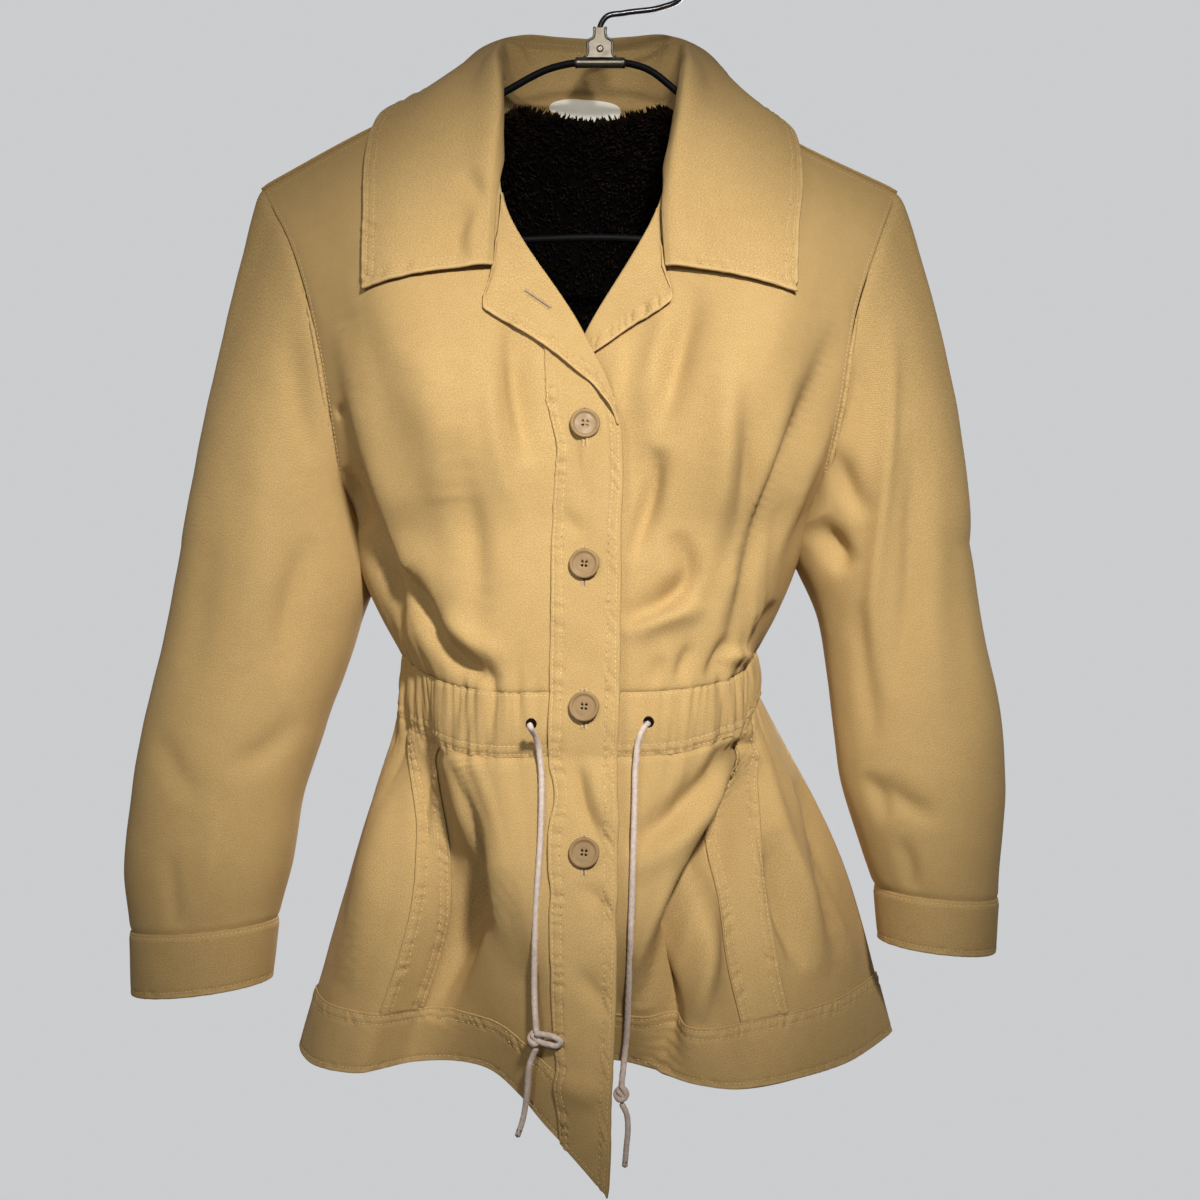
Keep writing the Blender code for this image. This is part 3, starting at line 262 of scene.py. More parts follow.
# Folds, listed one by one. Columns: the fold's line as (x, drop) points, its width on the side to the viewer's
# left of its downward run, its width on the other side, and its height: a ridge above 0, a trough below.
FOLDS_FRONT_LEFT = (
    (((15.7, 290), (13, 326), (9.5, 364)), 9, 2, 2.6),
    (((64, 262), (51, 301), (36, 368)), 5, 12, -9.8),
    (((48, 262), (38, 300), (26, 352)), 8, 7, 3.9),
    (((37, 370), (29, 411), (20, 446)), 5, 8, -10.4),
    (((50, 425), (58, 456), (42, 473), (12, 485)), 10, 5, -12.3),
    (((70, 474), (36, 483), (14, 495)), 7, 8, 7.8),
    (((85, 300), (81, 380), (64, 470)), 12, 11, 7.8),
    (((92, 330), (96, 396), (88, 460)), 8, 7, -7.8),
    (((128, 312), (110, 382), (99, 418), (90, 452), (74, 516)), 9, 7, 7.0),
    (((158, 284), (132, 354), (113, 396), (102, 428), (94, 458), (76, 524)), 7, 9, -10.0),
    (((158, 345), (129, 407), (113, 449), (97, 505)), 6, 6, 6.5),
    (((126, 396), (113, 449), (104, 480)), 5, 6, -6.5),
    (((118, 470), (106, 495), (102, 516)), 5, 5, -7.0),
    (((84, 494), (78, 506), (70, 522)), 4, 5, -6.5),
    (((78, 510), (92, 506), (106, 509)), 5, 4, 5.2),
    (((60, 498), (54, 510), (50, 524)), 4, 5, -4.5),
    (((40, 505), (37, 514), (36, 526)), 4, 5, -3.2),
)
FOLDS_FRONT_RIGHT = (
    (((-180, 343), (-174, 344), (-166, 345)), 3, 3, -4.1),
    (((-173, 380), (-169, 402), (-165, 424)), 4, 6, -9.5),
    (((-172, 286), (-152, 358), (-139, 407), (-131, 440), (-116, 474)), 10, 15, 9.5),
    (((-132, 448), (-121, 474), (-106, 500)), 6, 8, -14.9),
    (((-118, 486), (-94, 508), (-64, 526)), 6, 7, -11.5),
    (((-104, 478), (-84, 496), (-60, 510)), 7, 8, 7.4),
    (((-59, 286), (-55, 330), (-46, 384)), 5, 9, -8.8),
    (((-74, 300), (-68, 360), (-54, 420)), 8, 6, 4.7),
    (((-120, 300), (-106, 350), (-100, 410)), 15, 16, 5.4),
    (((-92, 360), (-83, 430), (-78, 490)), 10, 10, -6.8),
    (((-154, 436), (-143, 470), (-136, 502)), 5, 6, -9.5),
    (((-158, 372), (-146, 420), (-132, 462), (-120, 490)), 13, 5, -12.2),
    (((-20, 352), (-15, 372), (-9, 408)), 5, 6, -3.5),
    (((-4, 350), (-10, 376), (-11, 400)), 4, 4, 2.4),
    (((-28, 410), (-18, 420), (-8, 428)), 5, 5, -2.7),
)
FOLDS_SKIRT_LEFT = (
    (((102, 554), (88, 570), (66, 592), (40, 612), (14, 627)), 9, 9, -11.0),
    (((98, 566), (67, 605), (43, 628), (20, 644)), 9, 9, 7.8),
    (((98, 572), (67, 627), (50, 660), (36, 690), (23, 732)), 3.5, 15, -28.6),
    (((62, 640), (50, 690), (42, 730), (38, 775)), 10, 12, -26.0),
    (((60, 616), (42, 655), (28, 690), (14, 730)), 9, 6, 5.2),
    (((84, 596), (71, 630), (66, 668)), 5, 5, 6.5),
    (((70, 640), (66, 672), (65, 703), (61, 738)), 4, 9, 11.7),
    (((106, 556), (118, 620), (137, 668), (152, 722)), 7, 8, 9.1),
    (((110, 624), (121, 676), (134, 716)), 6, 8, -11.7),
    (((136, 590), (150, 655), (163, 720)), 7, 8, -7.8),
    (((88, 570), (97, 567), (106, 571)), 4, 4, -4.0),
    (((110, 547), (136, 613), (160, 677), (182, 736)), 12, 3, 4.5),
)
FOLDS_SKIRT_RIGHT = (
    (((-16, 566), (-10, 598), (6, 634)), 4, 8, -5.0),
    (((-8, 570), (-1, 598), (8, 618)), 5, 6, 4.7),
    (((-14, 648), (2, 660), (6, 682)), 5, 5, -4.5),
    (((-98, 556), (-80, 605), (-66, 655), (-50, 712)), 11, 20, 10.0),
    (((-92, 572), (-84, 622), (-90, 666), (-101, 706), (-113, 752)), 5, 15, -19.0),
    (((-140, 566), (-152, 650), (-168, 730)), 14, 14, 8.1),
    (((-120, 552), (-112, 566), (-98, 572)), 5, 5, -6.0),
    (((-118, 560), (-116, 600), (-118, 640)), 6, 5, -5.4),
    (((-62, 640), (-54, 690), (-44, 750)), 14, 12, -6.1),
    (((-30, 770), (-12, 772), (6, 778)), 9, 7, 5.4),
    (((-16, 700), (-4, 712), (4, 730)), 6, 6, -4.1),
)
FOLDS_SLEEVE_LEFT = (
    (((158, 366), (168, 396), (180, 416)), 6, 8, -7.5),
    (((200, 270), (197, 331), (192, 394), (187, 448), (181, 545)), 7, 5, 6.5),
    (((212, 350), (211, 412), (208, 467), (198, 540)), 8, 13, -7.5),
    (((145, 416), (158, 432), (168, 452)), 8, 8, -12.0),
    (((176, 470), (180, 520), (184, 570)), 6, 7, -4.5),
    (((186, 588), (204, 606), (228, 616)), 7, 8, -5.5),
    (((240, 380), (244, 470), (246, 560)), 15, 13, -4.0),
    (((178, 586), (186, 600), (192, 620)), 5, 6, -5.0),
    (((200, 628), (206, 646), (208, 668)), 5, 6, -3.5),
    (((176, 300), (170, 340), (164, 372)), 6, 8, -4.0),
)
FOLDS_SLEEVE_RIGHT = (
    (((-196, 426), (-210, 474), (-214, 524)), 9, 9, -5.5),
    (((-228, 330), (-226, 420), (-238, 520)), 17, 17, 4.0),
    (((-206, 546), (-226, 572), (-252, 584)), 9, 9, -4.0),
    (((-300, 558), (-280, 590), (-260, 604)), 9, 9, -3.2),
    (((-252, 606), (-258, 640), (-262, 684)), 8, 9, 3.0),
    (((-286, 636), (-284, 664), (-280, 694)), 6, 6, -2.8),
    (((-212, 280), (-206, 330), (-196, 380)), 8, 10, -4.0),
    (((-262, 400), (-270, 470), (-276, 540)), 12, 12, -2.5),
)
FOLDS_BACK = (
    (((-156, 290), (-132, 366), (-112, 446)), 16, 10, -5.0),
    (((98, 286), (114, 350), (120, 424)), 12, 17, -4.5),
    (((-62, 396), (-54, 446), (-52, 492)), 9, 9, -3.0),
    (((22, 384), (26, 438), (24, 492)), 8, 11, -3.5),
    (((-24, 190), (-14, 256), (-12, 330)), 22, 18, -2.0),
    (((72, 412), (63, 456), (60, 492)), 9, 9, 3.0),
    (((-98, 430), (-88, 462), (-86, 494)), 8, 7, 2.5),
    (((-150, 180), (-120, 200), (-80, 206)), 10, 14, -2.0),
)
FOLDS_SKIRT_BACK = (
    (((-150, 590), (-158, 650), (-170, 720)), 10, 12, -3.0),
    (((-24, 560), (-28, 600), (-30, 640)), 8, 8, -2.5),
    (((60, 560), (74, 610), (84, 660)), 9, 9, -3.0),
    (((128, 600), (140, 660), (150, 730)), 10, 12, -2.5),
)
FOLDS_SLEEVE_LEFT_BACK = (
    (((160, 400), (180, 430), (196, 450)), 9, 12, -4.0),
    (((190, 480), (206, 530), (214, 580)), 12, 12, -3.0),
    (((232, 560), (214, 584), (198, 600)), 9, 9, -2.5),
)
FOLDS_SLEEVE_RIGHT_BACK = (
    (((-188, 404), (-206, 436), (-220, 456)), 12, 9, -4.0),
    (((-214, 480), (-236, 536), (-250, 590)), 12, 12, -3.0),
    (((-288, 566), (-262, 590), (-236, 600)), 9, 9, -2.5),
)
FOLDS_COLLAR = (
    (((-92, 180), (-82, 198), (-72, 208)), 5, 7, -4.5),
    (((-86, 210), (-94, 230), (-90, 250)), 8, 5, -4.5),
    (((-79, 210), (-83, 230), (-81, 252)), 5, 5, 2.5),
    (((110, 196), (104, 222), (98, 250)), 14, 14, 1.5),
    (((60, 190), (66, 214), (64, 244)), 8, 9, -2.2),
    (((-130, 190), (-134, 220), (-136, 246)), 14, 14, 1.5),
)

# How strong the gathers are along each waist: share of its length from its first side, strength.
GATHERS_FRONT = ((0, 0.0), (0.22, 0.08), (0.3, 0.5), (0.42, 0.9), (0.6, 1.0), (1, 1.0))
GATHERS_BACK = ((0, 0.9), (0.2, 0.7), (0.5, 0.8), (0.8, 0.7), (1, 0.9))

# Distances of the stitch rows in from the edges that they follow.
SEAM_ROWS = (2.0, 7.5)
HEM_ROW = (3.4,)
SHOULDER_ROWS = (2.2, 8.0)
ARMHOLE_ROW = (2.0,)
WELT_ROWS = (2.2, 7.5)
PLACKET_ROWS = (1.6, 7.4)
LAPEL_ROWS = (3.0, 8.0)
COLLAR_ROWS = (3.4, 8.6)
COLLAR_BACK_ROW = 6.3

TAN = (0.450, 0.290, 0.108)
TAN_WORN = (0.580, 0.395, 0.175)
TAN_DEEP = (0.310, 0.190, 0.064)
# Grained materials. Columns: name, colour, second colour, roughness, scale of the grain, most of the second
# colour, height of the relief in metres, other values of the shader.
GRAINED = (
    ("tan_thread", (0.66, 0.47, 0.24), (0.52, 0.35, 0.15), 0.7, 900.0, 0.6, 0.0001, {}),
    ("pale_braid", (0.56, 0.45, 0.37), (0.36, 0.27, 0.22), 0.8, 420.0, 0.6, 0.0002, {"Sheen Weight": 0.2}),
    # The dark tip colour is the cord tips' own colour, and also painted shade along the buttonhole slits.
    ("dark_tip", (0.12, 0.09, 0.06), (0.07, 0.05, 0.035), 0.5, 300.0, 0.6, 0.0001, {}),
    ("dark_pile_base", (0.0020, 0.0014, 0.0012), (0.001, 0.0008, 0.0007), 1.0, 200.0, 0.7, 0.0006,
     {"Specular IOR Level": 0.03}),
    ("dark_pile_tufts", (0.0012, 0.0008, 0.0006), (0.0200, 0.0120, 0.0080), 1.0, 150.0, 0.9, 0.0003,
     {"Specular IOR Level": 0.03}),
    ("label_weave", (0.90, 0.85, 0.72), (0.80, 0.74, 0.60), 0.8, 700.0, 0.5, 0.0001, {}),
    ("tan_button_resin", (0.26, 0.16, 0.066), (0.20, 0.12, 0.048), 0.48, 160.0, 0.6, 0.00004,
     {"Specular IOR Level": 0.3}),
    ("black_coated_tube", (0.004, 0.004, 0.0045), (0.008, 0.008, 0.0085), 0.50, 240.0, 0.5, 0.00003,
     {"Specular IOR Level": 0.06}),
    ("black_chrome", (0.10, 0.10, 0.105), (0.06, 0.06, 0.064), 0.16, 200.0, 0.6, 0.00002, {"Metallic": 1.0}),
    ("satin_nickel", (0.15, 0.13, 0.10), (0.09, 0.08, 0.062), 0.36, 180.0, 0.5, 0.00001, {"Metallic": 1.0}),
    ("pale_floor", (0.82, 0.82, 0.82), (0.77, 0.77, 0.77), 0.9, 6.0, 0.5, 0.0005, {}),
)
looks = {}

# Lamps, in metres. Columns: name, place, aimed at, radius of the lamp, beam angle in degrees, power.
LAMPS = (
    ("key", (0.36, -1.49, 0.44), (0.01, -0.1, -0.42), 0.09, 28.0, 189.0),
    ("fill", (-0.90, -1.30, 0.10), (-0.04, -0.1, -0.44), 0.30, 32, 38.0),
    ("neck", (0.06, -1.25, 0.04), (-0.005, 0.03, -0.10), 0.10, 10.0, 30.0),
    ("behind", (0.5, 1.9, -0.25), (0.0, 0.0, -0.45), 0.50, 60, 130.0),
)
FLOOR_RADIUS = 1.8
FLOOR_Z = -1.6
FLOOR_SIDES = 96
# The surround's brightness rises with the share of the way that points to the back.
SURROUND = {"From Min": 0.1, "From Max": 0.85, "To Min": 0.10, "To Max": 0.62}
SURROUND_COLOUR = (0.97, 0.98, 1.0, 1)


# Curves and surfaces.

def place(rows):
    """Rows of (x, y, drop) as points with z up."""
    points = np.array(rows, float)
    points[..., 2] *= -1
    return points


def at_depth(line, y=0.0):
    """Rows of (x, drop) as points at one depth, with z up."""
    return np.array([(x, y, -drop) for x, drop in line], float)


def settle(values, rounds):
    """Smooths rows of values in place, each towards its neighbours. The first and last rows stay."""
    for _ in range(rounds):
        values[1:-1] = (values[:-2] + 2 * values[1:-1] + values[2:]) / 4


def spline(points, where):
    """The smooth curves through rows of points, read at places counted in rows from the first."""
    points = np.asarray(points, float)
    where = np.asarray(where, float)
    steps = np.maximum(np.linalg.norm(np.diff(points, axis=0), axis=-1, keepdims=True), 1e-6)
    slopes = np.diff(points, axis=0) / steps
    tangents = np.empty_like(points)
    tangents[0], tangents[-1] = slopes[0], slopes[-1]
    weight = steps[1:] / (steps[1:] + steps[:-1])
    tangents[1:-1] = weight * slopes[:-1] + (1 - weight) * slopes[1:]
    first = np.clip(np.floor(where).astype(int), 0, len(points) - 2)
    t = (where - first).reshape(-1, *[1] * (points.ndim - 1))
    h = steps[first]
    return (
        (2 * t**3 - 3 * t**2 + 1) * points[first]
        + (t**3 - 2 * t**2 + t) * h * tangents[first]
        + (3 * t**2 - 2 * t**3) * points[first + 1]
        + (t**3 - t**2) * h * tangents[first + 1]
    )


def lengths(points):
    """Distance along a line of points from its first."""
    return np.concatenate([[0], np.cumsum(np.linalg.norm(np.diff(points, axis=0), axis=-1))])


def along(points, shares):
    """The smooth curve through the points, read at shares of its length."""
    dense = spline(points, np.linspace(0, len(points) - 1, 40 * len(points)))
    length = lengths(dense)
    at = np.asarray(shares, float) * length[-1]
    return np.stack([np.interp(at, length, dense[:, k]) for k in range(dense.shape[1])], axis=1)


def share_at(points, spot):
    """The share of the curve's length that lies before the point nearest to spot."""
    shares = np.linspace(0, 1, 801)
    return shares[np.linalg.norm(along(points, shares) - np.asarray(spot), axis=1).argmin()]


def across(points, per_gap):
    """The smooth curve through the points, with per_gap even steps between neighbours."""
    return spline(points, np.linspace(0, len(points) - 1, per_gap * (len(points) - 1) + 1))


def coons(top, bottom, first, last, u, v):
    """The surface spanned by four edges that meet at the corners, as a grid of rows v and columns u."""
    u, v = np.asarray(u)[None, :, None], np.asarray(v)[:, None, None]
    ruled = (1 - v) * top[None] + v * bottom[None] + (1 - u) * first[:, None] + u * last[:, None]
    corners = (1 - v) * ((1 - u) * top[0] + u * top[-1]) + v * ((1 - u) * bottom[0] + u * bottom[-1])
    return ruled - corners


def bulge(grid, u, v, centre, spread, push):
    """Pushes the grid by the vector push around a place of the panel, fading out over spread."""
    du = (np.asarray(u)[None, :] - centre[0]) / spread[0]
    dv = (np.asarray(v)[:, None] - centre[1]) / spread[1]
    near = np.exp(-(du**2 + dv**2))
    edge = np.sin(np.pi * np.asarray(u))[None, :] ** 0.5 * np.sin(np.pi * np.asarray(v))[:, None] ** 0.5
    return grid + (near * edge)[..., None] * np.asarray(push, float)


def eased(grid, rounds=12):
    """The grid with its inside relaxed between its edges, which stay."""
    grid = grid.copy()
    for _ in range(rounds):
        around = (grid[:-2, 1:-1] + grid[2:, 1:-1] + grid[1:-1, :-2] + grid[1:-1, 2:]) / 4
        grid[1:-1, 1:-1] += 0.5 * (around - grid[1:-1, 1:-1])
    return grid


def unit(vectors):
    return vectors / np.maximum(np.linalg.norm(vectors, axis=-1, keepdims=True), 1e-9)


def normals(grid, closed=False):
    """Unit normals of a grid, on the side of columns crossed with rows."""
    if closed:
        du = np.roll(grid, -1, axis=1) - np.roll(grid, 1, axis=1)
    else:
        du = np.gradient(grid, axis=1)
    return unit(np.cross(du, np.gradient(grid, axis=0)))


def to_core(points):
    """Unit directions from points on the body's outside towards the core sheet inside it."""
    rows = np.array(CORE_ROWS, float)
    drop = -points[..., 2]
    shoulder = place(SHOULDER_RIGHT[::-1] + SHOULDER_LEFT)
    lowest = np.interp(points[..., 0], shoulder[:, 0], -shoulder[:, 2]) + CORE_BELOW_SHOULDER
    left_end, right_end = np.interp(drop, rows[:, 0], rows[:, 1]), np.interp(drop, rows[:, 0], rows[:, 2])
    x = np.clip(points[..., 0], left_end, right_end)
    core = np.stack([x, np.full_like(x, CORE_Y), -np.maximum(drop, lowest)], axis=-1)
    return unit(core - points)


def from_core(points):
    return -to_core(points)


def shift(grid, way, distance):
    """The grid moved along way until it lies distance off its own surface."""
    lean = np.abs((normals(grid) * way).sum(-1, keepdims=True))
    return grid + way * distance / np.maximum(lean, 0.55)


def tree_of(*names):
    """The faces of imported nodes, in millimetres, for finding the nearest one."""
    points, faces = [], []
    for name in names:
        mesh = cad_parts[name].data
        start = len(points)
        points += [v.co / MM for v in mesh.vertices]
        faces += [tuple(start + i for i in p.vertices) for p in mesh.polygons]
    return BVHTree.FromPolygons(points, faces)


def seen_at(tree, x, z):
    """The nearest surface to the viewer at x and z: its place and its normal, or None for both."""
    return tree.ray_cast(Vector((x, BEFORE_ALL, z)), Vector((0, 1, 0)))[:2]


def front_of(tree, x, z):
    """The y of the nearest surface to the viewer at x and z, or None."""
    spot = seen_at(tree, x, z)[0]
    return None if spot is None else spot.y


def facing_viewer(normal):
    return normal if normal[1] < 0 else -normal


def tucked_behind(grid, tree, distance):
    """The grid with each point under the cover pushed back behind it."""
    grid = grid.copy()
    for p in grid.reshape(-1, 3):
        for reach in (0, TUCK_REACH):
            cover = front_of(tree, p[0] - reach, p[2])
            if cover is not None:
                p[1] = max(p[1], cover + distance)
    return grid


def kept_clear(grid, tree, clearance, rounds=4):
    """The grid with each point moved out of the solids until it is clear of them."""
    flat = grid.reshape(-1, 3).copy()
    for _ in range(rounds):
        for i, p in enumerate(flat):
            spot, normal, _, _ = tree.find_nearest(Vector(p))
            off = np.array(Vector(p) - spot)
            depth = off @ np.array(normal)
            if depth < 0 or np.linalg.norm(off) < clearance:
                flat[i] = np.array(spot) + np.array(normal) * clearance
    return flat.reshape(grid.shape)


# The forms of the solids, as coarse grids.

COLUMNS = (0, 0.11, 0.22, 0.34, 0.46, 0.58, 0.70, 0.80, 0.90, 1)
ARMHOLE_STEPS = 10
SIDE_STEPS = 3
ROWS = np.linspace(0, 1, ARMHOLE_STEPS + SIDE_STEPS + 1)
PER_GAP = 2
SKIRT_ROWS = (0, 0.16, 0.34, 0.52, 0.68, 1 - HEM_DEPTH_SHARE, 1)
RING = 2 * ARMHOLE_STEPS
# Soft swellings of the bodice: centre (u, v), spread (u, v), push (x, y, z).
BULGES_RIGHT = (((0.55, 0.50), (0.30, 0.30), (0, -26, 0)), ((0.85, 0.85), (0.22, 0.16), (-6, -14, 0)))
BULGES_LEFT = (((0.55, 0.50), (0.30, 0.30), (0, -24, 0)), ((0.85, 0.85), (0.22, 0.16), (6, -12, 0)))
BULGES_BACK = (((0.55, 0.45), (0.35, 0.35), (0, 16, 0)),)


def outer_edge(armhole, side):
    """The armhole and then the side seam, with a row at the underarm."""
    down_arm = along(place(armhole), np.linspace(0, 1, ARMHOLE_STEPS + 1))
    return np.concatenate([down_arm, along(place(side), np.linspace(0, 1, SIDE_STEPS + 1))[1:]])


def front_grid(shoulder, edge, armhole, side, lines, v, bulges):
    """A front bodice between its shoulder seam, front edge, armhole, side seam and the casing."""
    top = along(place(shoulder), COLUMNS)
    bottom = along(place([line[0] for line in lines]), COLUMNS)
    grid = coons(top, bottom, along(place(edge), v), outer_edge(armhole, side), COLUMNS, v)
    for centre, spread, push in bulges:
        grid = bulge(grid, COLUMNS, v, centre, spread, push)
    return grid


def rows_through(edge, spot):
    """Even shares down an edge, with one of them moved to the spot."""
    shares = ROWS.copy()
    target = share_at(edge, spot)
    shares[np.abs(shares - target).argmin()] = target
    return shares


def back_half(shoulder, neck, armhole, side, lines):
    """Half of the back bodice, from the centre line out to the armhole and side."""
    neck_share = 0.3
    u = np.linspace(0, 1, 11)
    beyond = u > neck_share + 0.01
    top = np.empty((len(u), 3))
    top[~beyond] = along(neck, np.minimum(u[~beyond] / neck_share, 1))
    top[beyond] = along(place(shoulder), (u[beyond] - neck_share) / (1 - neck_share))
    bottom = along(place([line[0] for line in lines]), u)
    grid = coons(top, bottom, along(place(CENTRE_BACK), ROWS), outer_edge(armhole, side), u, ROWS)
    for centre, spread, push in BULGES_BACK:
        grid = bulge(grid, u, ROWS, centre, spread, push)
    return eased(grid)


def back_grid():
    neck = place(NECK_BACK)
    middle = len(BACK_LINES) // 2
    right = back_half(SHOULDER_RIGHT, neck[2::-1], ARMHOLE_BACK_RIGHT, SIDE_RIGHT, BACK_LINES[middle::-1])
    left = back_half(SHOULDER_LEFT, neck[2:], ARMHOLE_BACK_LEFT, SIDE_LEFT, BACK_LINES[middle:])
    return np.concatenate([left[:, ::-1], right[:, 1:]], axis=1)


def casing_grid(lines):
    """The gathered band that holds the drawstring, puffed a little between its seams."""
    top = across(place([line[0] for line in lines]), PER_GAP)
    bottom = across(place([line[1] for line in lines]), PER_GAP)
    middle = (top + bottom) / 2
    return np.stack([top, middle + from_core(middle) * WAIST_PUFF, bottom])


def skirt_grid(lines):
    """The skirt: each line runs from the casing through its half-way place to the hem."""
    down = []
    for _, top, half, hem in lines:
        half_drop = top[2] + HALF_WAY_SHARE * (hem[2] - top[2])
        down.append(along(place((top, (*half, half_drop), hem)), SKIRT_ROWS))
    return np.stack([across(row, PER_GAP) for row in np.stack(down, axis=1)])


def armhole_ring(front, back):
    """The armhole as a ring from the shoulder down the front to the underarm and up the back."""
    half = np.linspace(0, 1, RING // 2 + 1)
    return np.concatenate([along(place(front), half), along(place(back), half)[-2:0:-1]])


def section_ring(section, outward):
    """One oval section of a sleeve, starting at its outer side and turning to the front."""
    (x, y), half_width, half_depth, outer_drop, inner_drop = section
    a = 2 * math.pi * np.arange(RING) / RING
    drop = (outer_drop + inner_drop) / 2 + (outer_drop - inner_drop) / 2 * np.cos(a)
    return np.stack([x + outward * half_width * np.cos(a), y - half_depth * np.sin(a), -drop], axis=1)


def roll_line(edge, turned_drops):
    """The part of a front edge that is turned back, between two drops."""
    points = along(place(edge), np.linspace(0, 1, 200))
    first, last = turned_drops
    inside = (points[:, 2] <= -first) & (points[:, 2] >= -last)
    return points[inside]


def collar_grid():
    """The collar from its neck seam over the roll line to its free edge, at each section and between them."""
    neck, roll, free = (across(place([s[k] for s in COLLAR_SECTIONS]), 2) for k in range(3))
    crown = np.array(COLLAR_CROWN)
    fall = [roll + (free - roll) * t + crown * math.sin(math.pi * t) for t in (0.25, 0.5, 0.75)]
    return np.stack([neck, (neck + roll) / 2, roll, *fall, free])


def sewn_to_neck(under):
    """The collar with its seam set just off the neck edge of the fronts and back."""
    shares = np.linspace(0, 1, 400)
    right, left = along(place(EDGE_RIGHT), shares), along(place(EDGE_LEFT), shares)
    neck = along(place(NECK_BACK), shares)
    edges = np.concatenate([
        right + (COLLAR_OFF_EDGE, -COLLAR_OFF_EDGE, COLLAR_OFF_NECK),
        left + (-COLLAR_OFF_EDGE, -COLLAR_OFF_EDGE, COLLAR_OFF_NECK),
        neck + (0, 0, COLLAR_OFF_NECK),
    ])
    for c in range(2 * SEWN_SECTIONS[0], 2 * SEWN_SECTIONS[1] + 1):
        seam = edges[np.linalg.norm(edges - under[0, c], axis=1).argmin()]
        under[1, c] += (seam - under[0, c]) / 2
        under[0, c] = seam
    return under


def stood_up(grid):
    """The collar with its back standing straight up, between the two places where it starts to fall over."""
    middle = grid.shape[1] // 2
    for column in range(middle - STANDING_COLUMNS, middle + STANDING_COLUMNS + 1):
        neck = grid[0, column]
        straight = neck + (grid[ROLL_ROW, column] - neck) * np.array(STANDING_ROWS)[:, None]
        share = 0.5 if abs(column - middle) == STANDING_COLUMNS else 1.0
        grid[:, column] += share * (straight - grid[:, column])
    return grid


def laid_collar():
    """The collar laid on the fronts where it falls over them: its upper side as a coarse grid."""
    tree = tree_of("front_right", "front_left", "back", "lapel_right", "lapel_left")
    under = sewn_to_neck(collar_grid())
    fall = under[ROLL_ROW + 1 :]
    for r, c in np.ndindex(fall.shape[:2]):
        x, y, z = fall[r, c]
        front = front_of(tree, x, z)
        if y < COLLAR_FRONT_Y and front is not None:
            fall[r, c, 1] = min(y, front - COLLAR_LIFT)
    for front_end in (slice(None, COLLAR_FRONT_COLUMNS), slice(-COLLAR_FRONT_COLUMNS, None)):
        fall[:, front_end] = kept_clear(fall[:, front_end], tree, COLLAR_LIFT)
    settle(fall[:-1].swapaxes(0, 1), 2)
    up = normals(under)
    if up[0, len(under[0]) // 2, 1] > 0:
        up = -up
    return stood_up(under + up * COLLAR_CLOTH)


# Fine cloth.

# Distances from a stitched edge at which the fine grid has a line.
EDGE_STOPS = (0, 0.7, 1.5, 2.4, 3.4, 4.6, 6.0, 7.4, 8.6, 10, 12)


def stops(grid, axis, spacing, fine_start, fine_end):
    """Places along one axis of a coarse grid, about spacing apart, with more of them at stitched edges."""
    steps = np.linalg.norm(np.diff(grid, axis=axis), axis=-1).mean(axis=1 - axis)
    length = np.concatenate([[0], np.cumsum(steps)])
    low = np.array(EDGE_STOPS if fine_start else (0,), float)
    high = length[-1] - np.array(EDGE_STOPS if fine_end else (0,), float)[::-1]
    count = max(2, round((high[0] - low[-1]) / spacing))
    middle = np.linspace(low[-1], high[0], count + 1)
    return np.interp(np.concatenate([low[:-1], middle, high[1:]]), length, np.arange(len(length)))


def both_stops(grid, spacing, edges):
    """Places down and across a coarse grid, with more of them at the named sides."""
    down = stops(grid, 0, spacing, "top" in edges, "bottom" in edges)
    return down, stops(grid, 1, spacing, "first" in edges, "last" in edges)


def numbered(rows, columns):
    """A grid of point numbers."""
    return np.arange(rows * columns).reshape(rows, columns)


def wrapped(index):
    """A grid of point numbers with its first column again after its last."""
    return np.concatenate([index, index[:, :1]], axis=1)


def quads_of(index):
    """The corners of the faces between neighbouring rows and columns of point numbers."""
    return np.stack([index[:-1, :-1], index[:-1, 1:], index[1:, 1:], index[1:, :-1]], axis=-1).reshape(-1, 4)


